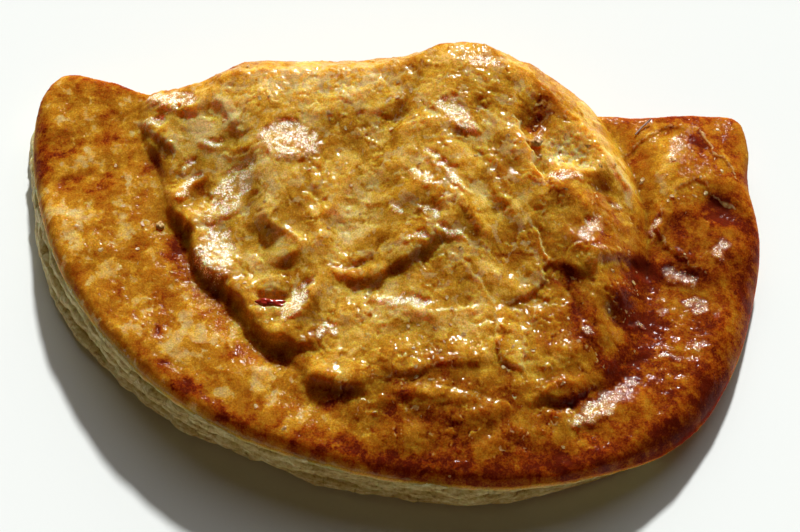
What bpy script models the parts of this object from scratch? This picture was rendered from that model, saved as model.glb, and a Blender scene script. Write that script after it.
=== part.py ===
"""A Cornish pasty of puff pastry: a D-shaped turnover with a wide sealed rim, a horn at each
end of its fold, and a crumpled dome where the sheet lies over the filling. It is one solid,
because nothing of its inside shows.

Metres, +Z up. +X runs along the fold from the left horn to the right one, and +Y points to
the fold. The origin is on the table, under the middle of the pasty's box. Places on the crust
are given as (u, v): shares of the half length and of the half depth, from the outline's own
middle, which the last step moves so that the origin comes to lie where it is said to be.
"""

import math

import bmesh
import bpy
import numpy as np
from mathutils import Vector
from mathutils.geometry import delaunay_2d_cdt

# Driving dimensions
LENGTH = 0.185
DEPTH = 0.120
HEIGHT = 0.041
MM = 0.001

# Rim and wall
RIM_HEIGHT = 0.4145 * HEIGHT  # the sealed edge's top half way along the left
RIM_GAIN = 0.0366 * HEIGHT  # how much higher the rim lies at the front
RIGHT_LOSS = 0.134 * HEIGHT  # and how much lower at the right
LEFT_LOSS = 0.085 * HEIGHT  # and at the left horn
EDGE_RADIUS = 3 * MM  # over which the rim's top curves down to its edge
ROUNDED_RIGHT = 5.5 * MM  # and how much further in that starts at the right front
ROUNDED_LEFT = 3 * MM  # and at the left horn
RIM_SAG = 0.5 * MM  # the groove where the rim meets the dome
BASE_LIFT = 1.4 * MM  # the edge's underside curls this far off the table
BASE_INSET = 6 * MM  # the flat foot starts this far inside the edge
FOLD_INSET = 3 * MM  # and this much further in along the fold
CREST_BLEND = 1.5  # mm over which neighbouring crests run together
CREST_FLAT = 6 * MM  # how far from a crest's line the dome keeps its height
FOOT_EASE = 3 * MM  # over which the dome's foot runs out into the rim
FOOT_RISE = 1.5 * MM  # how far in from there the dome is half way up
STEP_BELOW = 0.4  # the share of a step's height that lies below the sheet it falls to
EDGE_SPREAD = 2.5 * MM  # how far the cut edge's lowest leaves spread at the left
FRONT_TUCK = 1.5 * MM  # and how far they tuck under the rim at the front
RIGHT_TUCK = 3 * MM  # and how much further at the right

# Mesh
SPACING = 2.5 * MM
EDGE_RINGS = (1.0 * MM, 3.2 * MM)
CURVE_STEPS = 8
OFFSET_STEPS = 4

HALF = np.array([LENGTH / 2, DEPTH / 2])

# The rim's edge, from the back of the left horn round the front and back along the fold
RIM_EDGE = [
    (-0.80, 0.965), (-0.92, 1.023), (-0.985, 0.914), (-1.00, 0.674), (-0.965, 0.372), (-0.885, 0.01),
    (-0.73, -0.351), (-0.52, -0.644), (-0.26, -0.834), (0.02, -0.939), (0.29, -0.967), (0.55, -0.883),
    (0.77, -0.698), (0.905, -0.388), (0.98, -0.026), (1.00, 0.214), (0.975, 0.454), (0.985, 0.654),
    (0.955, 0.794), (0.84, 0.811), (0.70, 0.8), (0.61, 0.805), (0.53, 0.814), (0.40, 0.903),
    (0.29, 0.961), (0.20, 0.981), (0.11, 0.945), (-0.02, 0.955), (-0.20, 0.975), (-0.37, 0.985),
    (-0.47, 0.92), (-0.56, 0.865), (-0.68, 0.874),
]

# Where the dome rises from the rim; at the fold it runs just past the edge
DOME_FOOT = [
    (-0.64, 0.901), (-0.70, 0.785), (-0.685, 0.614), (-0.645, 0.491), (-0.625, 0.36), (-0.60, 0.25),
    (-0.56, 0.16), (-0.54, 0.05), (-0.50, -0.04), (-0.43, -0.153), (-0.38, -0.277), (-0.33, -0.371),
    (-0.26, -0.473), (-0.20, -0.633), (-0.05, -0.813), (0.15, -0.913), (0.34, -0.884),
    (0.50, -0.715), (0.60, -0.489), (0.66, -0.282), (0.68, -0.023), (0.69, 0.227), (0.65, 0.526),
    (0.56, 0.802), (0.43, 0.944), (0.28, 1.026), (0.10, 1.02), (-0.20, 1.01), (-0.40, 1.01), (-0.52, 0.94),
]

# The dome's crest and its spurs: u, v and the share of the full height
CRESTS = {
    "along the fold": [
        (-0.62, 0.52, 0.474), (-0.52, 0.64, 0.571), (-0.45, 0.72, 0.680), (-0.38, 0.76, 0.741),
        (-0.22, 0.74, 0.741), (-0.08, 0.74, 0.765), (0.05, 0.77, 0.807), (0.18, 0.84, 0.903),
        (0.28, 0.77, 0.874), (0.4, 0.62, 0.754), (0.5, 0.46, 0.656),
    ],
    "left shoulder": [
        (-0.575, 0.42, 0.455), (-0.52, 0.26, 0.465), (-0.47, 0.09, 0.475), (-0.42, -0.06, 0.485),
        (-0.35, -0.183, 0.500), (-0.28, -0.306, 0.498), (-0.2, -0.367, 0.497),
    ],
    "middle": [
        (-0.34, 0.72, 0.741), (-0.3, 0.4, 0.717), (-0.28, 0.15, 0.645), (-0.22, -0.121, 0.592),
        (-0.18, -0.347, 0.539),
    ],
    "crown": [(0.16, 0.82, 0.900), (0.13, 0.5, 0.851), (0.12, 0.25, 0.815), (0.1, 0.05, 0.765)],
    "right spur": [
        (0.34, 0.68, 0.815), (0.38, 0.3, 0.741), (0.46, 0.15, 0.680), (0.48, 0, 0.643),
        (0.46, -0.203, 0.566), (0.44, -0.326, 0.537),
    ],
    "front tier": [(0.1, 0.05, 0.765), (0.1, -0.05, 0.669), (0.1, -0.408, 0.599)],
    "tier's brink": [
        (0.22, -0.357, 0.587), (0.1, -0.408, 0.599), (-0.05, -0.428, 0.571), (-0.16, -0.428, 0.528),
    ],
}

# Ridges of crumpled sheet: path, width on the left and right of it in mm, height in mm
RIDGES = {
    "middle rope": ([(-0.131, 0.329), (-0.151, 0.249), (-0.191, 0.132), (-0.2, -0.041)], 3, 3, 1.23),
    "front rope": ([(-0.21, -0.125), (-0.241, -0.216), (-0.301, -0.354)], 3, 3, 1.46),
    "brow": ([(0.02, 0.26), (0.101, 0.221), (0.161, 0.14), (0.121, 0.057)], 3.5, 3, 1.26),
    "right knuckle": ([(0.41, 0.225), (0.472, 0.264), (0.531, 0.236)], 3.4, 3.4, 1.54),
    "right wave": ([(0.47, 0.103), (0.491, 0.031), (0.561, -0.007)], 4, 3.5, 1.26),
    "front wave": ([(-0.1, -0.265), (0.02, -0.238), (0.14, -0.291)], 5, 5, 1.05),
    "right rim wave": ([(0.439, -0.717), (0.541, -0.643), (0.661, -0.532)], 5, 5, 1.12),
}

# Overhanging folds: path with the high side on its left, the rise's width, its height and
# the run back down to nothing, in mm
STEPS = {
    "left cliff": (
        [(-0.625, 0.44), (-0.614, 0.337), (-0.598, 0.257), (-0.567, 0.202), (-0.546, 0.142),
        (-0.539, 0.078), (-0.527, 0.011), (-0.493, -0.038), (-0.466, -0.086), (-0.425, -0.144),
        (-0.403, -0.202), (-0.378, -0.27), (-0.353, -0.322), (-0.324, -0.365), (-0.281, -0.376),
        (-0.216, -0.395), (-0.12, -0.409)], 5.5, 3.3, 8),
    "middle fold": (
        [(-0.21, -0.056), (-0.131, -0.108), (-0.05, -0.126), (0.02, -0.077), (0.08, -0.03),
        (0.13, 0.024), (0.201, 0.04)], 5.5, 1.6, 10),
    "front flap": (
        [(-0.249, -0.528), (-0.18, -0.565), (-0.11, -0.584), (-0.06, -0.589)], 5.5, 1.9, 8),
    "front crease": (
        [(-0.06, -0.528), (0.08, -0.52), (0.2, -0.497), (0.299, -0.483)], 5.5, 0.7, 9),
    "right crease": (
        [(0.358, -0.637), (0.459, -0.618), (0.54, -0.549), (0.599, -0.46), (0.638, -0.365)], 5.5, 1.3, 8),
    "right fold": (
        [(0.4, -0.04), (0.451, -0.068), (0.501, -0.082), (0.562, -0.021), (0.621, 0.03),
        (0.679, 0.045)], 5.5, 1.6, 8),
}

# Mounds and hollows: place, reach along and across in mm, turn in degrees, height in mm
MOUNDS = {
    "right horn blister": ((0.827, 0.43), 15, 19, 8, 5),
    "right rim": ((0.805, 0.067), 11, 8, 0, 1.6),
    "burst hollow": ((0.885, 0.318), 4.6, 4.2, -50, -1.6),
    "torn hollow": ((0.382, 0.579), 4.2, 4.6, -35, -2.2),
    "torn slope": ((0.471, 0.435), 7, 5, -20, -1.6),
    "middle hollow": ((-0.09, 0.17), 5, 12, -22, -1),
    "left hollow": ((-0.329, 0.082), 4.2, 4.4, 12, -0.7),
    "back left hollow": ((-0.421, 0.539), 7, 4.2, 8, -0.5),
    "back right hollow": ((0.597, 0.6), 6, 6, 0, -0.6),
    "deep spot": ((0.67, 0.026), 4.2, 4.2, 20, -1.4),
}

# Wall from the rim's edge down: share of the way down, then how far it stands out, in mm,
# at the sealed edge and at the rounded fold
WALL = [(0.15, 0.5, -0.3), (0.40, -0.9, -1.2), (0.65, 0.5, -2.8), (0.88, 1.0, -5.0), (1.00, -0.6, -7.0)]


def spline(points, closed):
    """A Catmull-Rom curve through the points."""
    p = np.array(points, float)
    ends = (p[-1:], p[:2]) if closed else (2 * p[:1] - p[1:2], 2 * p[-1:] - p[-2:-1])
    p = np.vstack([ends[0], p, ends[1]])
    t = np.linspace(0, 1, CURVE_STEPS, endpoint=False)[:, None]
    spans = [
        b + 0.5 * ((c - a) * t + (2 * a - 5 * b + 4 * c - d) * t**2 + (3 * b - a - 3 * c + d) * t**3)
        for a, b, c, d in zip(p, p[1:], p[2:], p[3:])
    ]
    return np.vstack(spans if closed else spans + [p[-2:-1]])


def smooth(t):
    """Eases from 0 to 1 as t goes from 0 to 1."""
    t = np.clip(t, 0, 1)
    return t * t * (3 - 2 * t)


def nearest(xy, path):
    """For each place: its distance from the path, +1 where it lies on the path's left, and the share
    of the path's length at the nearest point."""
    distance, side, along = np.full(len(xy), np.inf), np.zeros(len(xy)), np.zeros(len(xy))
    lengths = np.linalg.norm(np.diff(path, axis=0), axis=1)
    run = 0.0
    for start, end, length in zip(path, path[1:], lengths):
        way = (end - start) / length
        t = np.clip((xy - start) @ way, 0, length)
        off = xy - start - t[:, None] * way
        d = np.hypot(off[:, 0], off[:, 1])
        near = d < distance
        distance[near] = d[near]
        side[near] = np.sign(way[0] * off[near, 1] - way[1] * off[near, 0])
        along[near] = (run + t[near]) / lengths.sum()
        run += length
    return distance, side, along


def depth_inside(xy, loop):
    """Distance in from a closed loop, negative outside it."""
    ring = np.vstack([loop, loop[:1]])
    x, y = xy[:, 0], xy[:, 1]
    inside = np.zeros(len(xy), bool)
    for (x1, y1), (x2, y2) in zip(ring, ring[1:]):
        if y1 != y2:
            crosses = (y1 > y) != (y2 > y)
            inside ^= crosses & (x < (x2 - x1) * (y - y1) / (y2 - y1) + x1)
    distance = nearest(xy, ring)[0]
    return np.where(inside, distance, -distance)


def route(path):
    """An open path in metres through places given as (u, v)."""
    return spline(path, False) * HALF


EDGE_LOOP = spline(RIM_EDGE, True) * HALF
FOOT_LOOP = spline(DOME_FOOT, True) * HALF


def ridge(xy, path, left, right, height):
    distance, side, along = nearest(xy, route(path))
    width = np.where(side > 0, left, right) * MM
    taper = 0.35 + 0.65 * np.sin(math.pi * np.clip(along, 0.04, 0.96)) ** 0.6
    return height * MM * np.exp(-((distance / width) ** 2)) * taper


def step(xy, path, rise, height, run):
    distance, side, along = nearest(xy, route(path))
    signed = distance * side / MM
    ends = smooth(np.minimum(along, 1 - along) / 0.25)
    above = smooth(signed / rise + 0.5) - STEP_BELOW
    return height * MM * above * (1 - smooth(np.abs(signed) / run)) * ends


def mound(xy, centre, reach_along, reach_across, turn, height):
    across, up = ((xy - np.array(centre) * HALF) / MM).T
    c, s = math.cos(math.radians(turn)), math.sin(math.radians(turn))
    far = np.hypot((across * c + up * s) / reach_along, (up * c - across * s) / reach_across)
    return height * MM * np.exp(-(far**2.5))


def crest_over(xy):
    """The height of the crest that each place belongs to, and the place's distance from it."""
    lines = [spline(line, False) for line in CRESTS.values()]
    points = np.vstack(lines)
    far = ((xy[:, None, :] - points[None, :, :2] * HALF) ** 2).sum(2)
    weight = (far + (5 * MM) ** 2) ** -1.6
    height = (weight * points[:, 2]).sum(1) / weight.sum(1) * HEIGHT
    reaches = np.array([nearest(xy, line[:, :2] * HALF)[0] for line in lines])
    blend = CREST_BLEND * MM
    return height, -blend * np.log(np.exp(-reaches / blend).sum(0))


def rim_top(u, v):
    """The rim's height, which is greatest at the front and falls away to both horns."""
    left = smooth((-u - 0.6) / 0.35) * smooth((v - 0.05) / 0.5)
    return RIM_HEIGHT + RIM_GAIN * smooth(-v / 0.5) - RIGHT_LOSS * smooth((u - 0.1) / 0.75) - LEFT_LOSS * left


def edge_radius(u, v, back):
    """How far in the rim's top starts to curve down: furthest at the right front and the left horn."""
    right = smooth((u - 0.5) / 0.35) * smooth((0.35 - v) / 0.4)
    left = smooth((-u - 0.75) / 0.2) * smooth((v - 0.25) / 0.4)
    return EDGE_RADIUS * (1 - 0.5 * back) + ROUNDED_RIGHT * right + ROUNDED_LEFT * left


def crust_height(xy):
    """Height of the crust's top over the table."""
    u, v = (xy / HALF).T
    rim = rim_top(u, v)
    from_foot = depth_inside(xy, FOOT_LOOP)
    crest, from_crest = crest_over(xy)
    back = smooth((v - 0.62) / 0.3)
    front = smooth((-v - 0.05) / 0.4) * smooth((u + 0.45) / 0.3)
    up = np.maximum(from_foot, 0)
    up = up**2 / (up + FOOT_EASE)
    share = up / (up + 0.9 * np.maximum(from_crest - CREST_FLAT, 0) + FOOT_RISE)
    z = rim + (crest - rim) * share ** (0.75 - 0.25 * back + 0.45 * front)
    z -= RIM_SAG * np.exp(-(((from_foot / MM + 2.5) / 3.5) ** 2)) * (1 - back)
    for shape, table in ((ridge, RIDGES), (step, STEPS), (mound, MOUNDS)):
        for sizes in table.values():
            z += shape(xy, *sizes)
    radius = edge_radius(u, v, back)
    near_edge = 1 - np.clip(depth_inside(xy, EDGE_LOOP) / radius, 0, 1)
    return z - radius * (1 - np.sqrt(1 - near_edge**2))


def even_loop(loop, spacing):
    """The loop again, with its points a whole number of equal steps apart."""
    ring = np.vstack([loop, loop[:1]])
    run = np.concatenate([[0], np.cumsum(np.linalg.norm(np.diff(ring, axis=0), axis=1))])
    at = np.linspace(0, run[-1], round(run[-1] / spacing), endpoint=False)
    return np.stack([np.interp(at, run, ring[:, axis]) for axis in (0, 1)], axis=1)


def outward(ring):
    """Unit vectors that point out of a ring that runs anticlockwise."""
    along = np.roll(ring, -1, axis=0) - np.roll(ring, 1, axis=0)
    return np.stack([along[:, 1], -along[:, 0]], axis=1) / np.linalg.norm(along, axis=1)[:, None]


def moved_out(ring, distance):
    """The ring moved outward, in small steps that are smoothed so that its corners never cross."""
    for _ in range(OFFSET_STEPS):
        ring = ring + outward(ring) * distance[:, None] / OFFSET_STEPS
        ring = 0.25 * np.roll(ring, 1, axis=0) + 0.5 * ring + 0.25 * np.roll(ring, -1, axis=0)
    return ring


def crust_top(bm, edge):
    """Adds the top of the crust: rings along the rim's edge, and a net of near equal triangles inside
    them. Returns the edge as vertices."""
    rings = [edge] + [moved_out(edge, np.full(len(edge), -inset)) for inset in EDGE_RINGS]
    columns = np.arange(-HALF[0], HALF[0], SPACING)
    rows = np.arange(-HALF[1], HALF[1], SPACING * math.sqrt(3) / 2)
    net = np.array([(x + SPACING / 2 * (j % 2), y) for j, y in enumerate(rows) for x in columns])
    net = net[depth_inside(net, rings[-1]) > 0.6 * SPACING]
    count = len(edge)
    starts = range(0, len(rings) * count, count)
    bounds = [(start + i, start + (i + 1) % count) for start in starts for i in range(count)]
    flat = [Vector(p) for p in np.vstack(rings + [net]).tolist()]
    points, _, faces, sources, _, _ = delaunay_2d_cdt(flat, bounds, [], 1, 1e-9)
    heights = crust_height(np.array([tuple(p) for p in points]))
    verts = [bm.verts.new((p.x, p.y, z)) for p, z in zip(points, heights)]
    for face in faces:
        bm.faces.new([verts[i] for i in face])
    place = {source: i for i, found in enumerate(sources) for source in found}
    return [verts[place[i]] for i in range(count)]


def wall(bm, edge, ring):
    """Adds the wall down from the rim's edge, and the flat foot that the pasty stands on. The wall is
    a plain fold along the back and round the right horn, and two swollen layers elsewhere."""
    u, v = (edge / HALF).T
    folded = smooth((outward(edge)[:, 1] - 0.1) / 0.5) * smooth((v - 0.5) / 0.2)
    folded = 1 - (1 - folded) * (1 - smooth((u - 0.62) / 0.2))
    spread = EDGE_SPREAD * smooth((-u - 0.55) / 0.35) * smooth((0.7 - v) / 0.5)
    tuck = FRONT_TUCK * smooth((u + 0.75) / 0.5) + RIGHT_TUCK * smooth((u - 0.2) / 0.3)
    tops = np.array([v.co.z for v in ring])
    for down, sealed, fold in WALL:
        out = (1 - folded) * (sealed * MM + down * (spread - tuck)) + folded * fold * MM
        ring = skirt(bm, ring, moved_out(edge, out), tops + (BASE_LIFT - tops) * down)
    foot = skirt(bm, ring, moved_out(edge, -BASE_INSET - FOLD_INSET * folded), np.zeros(len(edge)))
    bmesh.ops.triangulate(bm, faces=[bm.faces.new(foot)])


def skirt(bm, ring, flat, heights):
    """Adds a ring of vertices below the given one, joined to it by quads."""
    lower = [bm.verts.new((x, y, z)) for (x, y), z in zip(flat, heights)]
    for i in range(len(ring)):
        j = (i + 1) % len(ring)
        bm.faces.new((ring[i], ring[j], lower[j], lower[i]))
    return lower


def crust_material():
    material = bpy.data.materials.new("golden_crust")
    material.use_nodes = True
    shader = material.node_tree.nodes["Principled BSDF"]
    shader.inputs["Base Color"].default_value = (0.55, 0.26, 0.05, 1)
    shader.inputs["Roughness"].default_value = 0.42
    shader.inputs["Metallic"].default_value = 0.0
    return material


def centred(mesh):
    """Puts the mesh's lowest point on the table and the middle of its box over the origin."""
    points = np.array([v.co for v in mesh.vertices])
    low, high = points.min(axis=0), points.max(axis=0)
    middle = (low + high) / 2
    for vertex in mesh.vertices:
        vertex.co -= Vector((middle[0], middle[1], low[2]))


def pasty():
    edge = even_loop(EDGE_LOOP, SPACING)
    bm = bmesh.new()
    ring = crust_top(bm, edge)
    wall(bm, edge, ring)
    bmesh.ops.recalc_face_normals(bm, faces=bm.faces)
    mesh = bpy.data.meshes.new("pasty")
    bm.to_mesh(mesh)
    bm.free()
    centred(mesh)
    mesh.materials.append(crust_material())
    mesh.shade_smooth()
    thing = bpy.data.objects.new("pasty", mesh)
    bpy.context.scene.collection.objects.link(thing)
    return thing


for old in list(bpy.data.objects):
    bpy.data.objects.remove(old)
pasty()
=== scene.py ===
"""The looks of a puff pastry pasty: its crumpled, glazed crust, the pale leaves of its cut edge,
torn sheets, flakes and crumbs, on a plain white floor in low sun from behind."""

import math

import bmesh
import bpy
import numpy as np
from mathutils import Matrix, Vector
from mathutils.bvhtree import BVHTree
from mathutils.geometry import delaunay_2d_cdt


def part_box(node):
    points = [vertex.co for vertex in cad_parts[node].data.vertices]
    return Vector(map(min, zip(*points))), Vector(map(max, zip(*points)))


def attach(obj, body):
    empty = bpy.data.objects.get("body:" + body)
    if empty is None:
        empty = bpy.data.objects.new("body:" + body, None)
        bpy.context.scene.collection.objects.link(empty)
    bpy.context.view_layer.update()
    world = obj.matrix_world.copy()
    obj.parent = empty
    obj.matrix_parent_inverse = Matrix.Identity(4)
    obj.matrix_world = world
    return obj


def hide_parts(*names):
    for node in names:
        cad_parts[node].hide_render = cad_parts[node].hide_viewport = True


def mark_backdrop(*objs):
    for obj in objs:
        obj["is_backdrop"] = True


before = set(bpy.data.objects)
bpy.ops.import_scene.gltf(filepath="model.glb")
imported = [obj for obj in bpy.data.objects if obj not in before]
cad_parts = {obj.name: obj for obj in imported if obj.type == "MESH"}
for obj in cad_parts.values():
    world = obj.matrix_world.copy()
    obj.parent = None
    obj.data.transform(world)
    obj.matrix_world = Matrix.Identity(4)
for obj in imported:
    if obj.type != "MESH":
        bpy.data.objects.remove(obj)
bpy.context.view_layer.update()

MM = 0.001

# The pasty's driving sizes, from the frame: how many half lengths, half depths and crest heights
# its box spans, and how far, in half sizes, the middle of the shares lies from the box's middle
LOW, HIGH = (np.array(corner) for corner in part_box("pasty"))
SHARE_SPAN = (2.0106, 1.9951, 0.8525)
HALF = (HIGH - LOW)[:2] / SHARE_SPAN[:2]
HEIGHT = (HIGH - LOW)[2] / SHARE_SPAN[2]
SHIFT = np.array((0.00526, -0.02497)) * HALF

RIM_HEIGHT = 0.4145 * HEIGHT
RIM_GAIN = 0.0366 * HEIGHT
RIGHT_LOSS = 0.134 * HEIGHT
LEFT_LOSS = 0.085 * HEIGHT
EDGE_RADIUS = 3 * MM
ROUNDED_RIGHT = 5.5 * MM
ROUNDED_LEFT = 3 * MM
RIM_SAG = 0.5 * MM
BASE_LIFT = 1.4 * MM
BASE_INSET = 6 * MM
FOLD_INSET = 3 * MM
CREST_BLEND = 1.5
CREST_FLAT = 6 * MM
FOOT_EASE = 1.2 * MM
GROOVE_AT = 2.5  # how far outside the dome's foot the groove is deepest, in mm
GROOVE_WIDTH = 3.5
FOOT_RISE = 1.5 * MM
STEP_BELOW = 0.4
NET = 0.51 * MM
EDGE_STEP = 2.5 * MM
EDGE_PARTS = 5
CURVE_STEPS = 8
OFFSET_STEPS = 4

# A sheet with this slope faces half way between the sun and the camera, so it shines
SHINE_SLOPE = (-0.08, -0.22)
THIN_REACH = 14 * MM  # from the horns' and the fold's edge, where less light goes through
FACET_LIFT = 1.3 * MM  # a facet is laid flat by about this much at most

# Terraces: levels to a unit of noise, the part of a level at which its sheet is torn and at which
# shade is painted on the sheet below, each with its width, and the sheets' thickness in mm
LEVELS = 1.7
TORN_AT, TORN_WIDTH = 0.57, 0.08
UNDER_AT, UNDER_WIDTH = 0.42, 0.07
SHEET_THICKNESS = 0.50

# Sharp crinkles: the noise's size in mm, its seed and the height in mm
CRINKLES = ((6.0, 61, 0.34), (3.4, 65, 0.22), (2.0, 69, 0.10))
CRINKLE_WIDTH = 0.05
FAN_CENTRE = (0.02, 0.80)  # the fine wrinkles run out from here

# What each vertex of the crust says of its looks, the crust's materials in their order, and what the
# base's vertices say
LOOKS = ("bake_and_shade", "cream", "gloss", "shine", "thin")
TOP, WALL, BASE = range(3)
BASE_LOOKS = [0.5, 0.0, 0.2, 0.0, 1.0]

# The rim's edge, from the back of the left horn round the front and back along the fold
RIM_EDGE = [
    (-0.80, 0.965), (-0.92, 1.023), (-0.985, 0.914), (-1.00, 0.674), (-0.965, 0.372), (-0.885, 0.01),
    (-0.73, -0.351), (-0.52, -0.644), (-0.26, -0.834), (0.02, -0.939), (0.29, -0.967), (0.55, -0.883),
    (0.77, -0.698), (0.905, -0.388), (0.98, -0.026), (1.00, 0.214), (0.975, 0.454), (0.985, 0.654),
    (0.955, 0.794), (0.84, 0.811), (0.70, 0.8), (0.61, 0.805), (0.53, 0.814), (0.40, 0.903),
    (0.29, 0.961), (0.20, 0.981), (0.11, 0.945), (-0.02, 0.955), (-0.20, 0.975), (-0.37, 0.985),
    (-0.47, 0.92), (-0.56, 0.865), (-0.68, 0.874),
]

# Where the dome rises from the rim; at the fold it runs just past the edge
DOME_FOOT = [
    (-0.64, 0.901), (-0.70, 0.785), (-0.685, 0.614), (-0.645, 0.491), (-0.625, 0.36), (-0.60, 0.25),
    (-0.56, 0.16), (-0.54, 0.05), (-0.50, -0.04), (-0.43, -0.153), (-0.38, -0.277), (-0.33, -0.371),
    (-0.26, -0.473), (-0.20, -0.633), (-0.05, -0.813), (0.15, -0.913), (0.34, -0.884),
    (0.50, -0.715), (0.60, -0.489), (0.66, -0.282), (0.68, -0.023), (0.69, 0.227), (0.65, 0.526),
    (0.56, 0.802), (0.43, 0.944), (0.28, 1.026), (0.10, 1.02), (-0.20, 1.01), (-0.40, 1.01), (-0.52, 0.94),
]

# The dome's crests: u, v and the share of the full height
CRESTS = {
    "along the fold": [
        (-0.62, 0.52, 0.474), (-0.52, 0.64, 0.571), (-0.45, 0.72, 0.680), (-0.38, 0.76, 0.741),
        (-0.22, 0.74, 0.741), (-0.08, 0.74, 0.765), (0.05, 0.77, 0.807), (0.18, 0.84, 0.903),
        (0.28, 0.77, 0.874), (0.4, 0.62, 0.754), (0.5, 0.46, 0.656)],
    "left shoulder": [
        (-0.575, 0.42, 0.455), (-0.52, 0.26, 0.465), (-0.47, 0.09, 0.475), (-0.42, -0.06, 0.485),
        (-0.35, -0.183, 0.500), (-0.28, -0.306, 0.498), (-0.20, -0.367, 0.497)],
    "middle": [
        (-0.34, 0.72, 0.741), (-0.3, 0.4, 0.717), (-0.28, 0.15, 0.645), (-0.22, -0.121, 0.592),
        (-0.18, -0.347, 0.539)],
    "crown": [(0.16, 0.82, 0.900), (0.13, 0.5, 0.851), (0.12, 0.25, 0.815), (0.1, 0.05, 0.765)],
    "right spur": [
        (0.34, 0.68, 0.815), (0.38, 0.3, 0.741), (0.46, 0.15, 0.680), (0.48, 0, 0.643),
        (0.46, -0.203, 0.566), (0.44, -0.326, 0.537)],
    "front tier": [(0.1, 0.05, 0.765), (0.1, -0.05, 0.669), (0.1, -0.408, 0.599)],
    "tier's brink": [
        (0.22, -0.357, 0.587), (0.1, -0.408, 0.599), (-0.05, -0.428, 0.571), (-0.16, -0.428, 0.528)],
}

# Ridges of crumpled sheet: path, width on the left and right of it in mm, height in mm
RIDGES = {
    "middle rope": (
        [(-0.131, 0.329), (-0.151, 0.249), (-0.191, 0.132), (-0.2, -0.041)], 2.2, 2.2, 1.54),
    "front rope": ([(-0.21, -0.125), (-0.241, -0.216), (-0.301, -0.354)], 2.6, 2.2, 1.82),
    "brow": ([(0.02, 0.26), (0.101, 0.221), (0.161, 0.14), (0.121, 0.057)], 3.5, 3.0, 1.26),
    "right knuckle": ([(0.41, 0.225), (0.472, 0.264), (0.531, 0.236)], 3.4, 3.4, 1.54),
    "right wave": ([(0.47, 0.103), (0.491, 0.031), (0.561, -0.007)], 4.0, 3.5, 1.26),
    "front wave": ([(-0.1, -0.265), (0.02, -0.238), (0.14, -0.291)], 5.0, 5.0, 1.05),
    "right rim wave": ([(0.439, -0.717), (0.541, -0.643), (0.661, -0.532)], 5.0, 5.0, 1.12),
    "first lobe": ([(-0.666, 0.764), (-0.602, 0.75), (-0.534, 0.728)], 2.2, 1.6, 0.98),
    "fourth lobe": ([(-0.513, 0.41), (-0.566, 0.359), (-0.61, 0.252)], 1.8, 1.8, 1.05),
    "left vee": (
        [(-0.341, 0.22), (-0.31, 0.127), (-0.259, 0.062), (-0.249, 0.018),
         (-0.299, -0.015)], 1.3, 1.3, 0.98),
    "torn bump": ([(0.418, 0.298), (0.459, 0.343), (0.511, 0.339)], 2.4, 3.0, 1.4),
    "pale fold": ([(0.582, 0.459), (0.622, 0.386), (0.656, 0.337), (0.661, 0.217)], 1.2, 1.0, 1.26),
    "streak one": ([(0.253, 0.427), (0.292, 0.322), (0.321, 0.235)], 1.0, 1.2, 0.63),
    "streak two": ([(0.262, 0.313), (0.301, 0.21), (0.34, 0.108)], 1.3, 1.3, 0.77),
    "streak three": ([(0.191, 0.179), (0.221, 0.106), (0.251, 0.04)], 1.4, 1.4, 0.77),
    "right crease lip": ([(0.358, -0.637), (0.419, -0.566), (0.49, -0.533)], 1.2, 1.2, 0.84),
    "horn seam": ([(0.722, 0.314), (0.716, 0.223), (0.69, 0.138)], 1.4, 1.4, 1.12),
    "front crumple": ([(-0.02, -0.631), (0.08, -0.615), (0.179, -0.63)], 2.2, 2.2, 0.84),
    "front crumple two": ([(0.1, -0.694), (0.199, -0.718), (0.279, -0.665)], 2.4, 2.2, 0.84),
}

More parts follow.
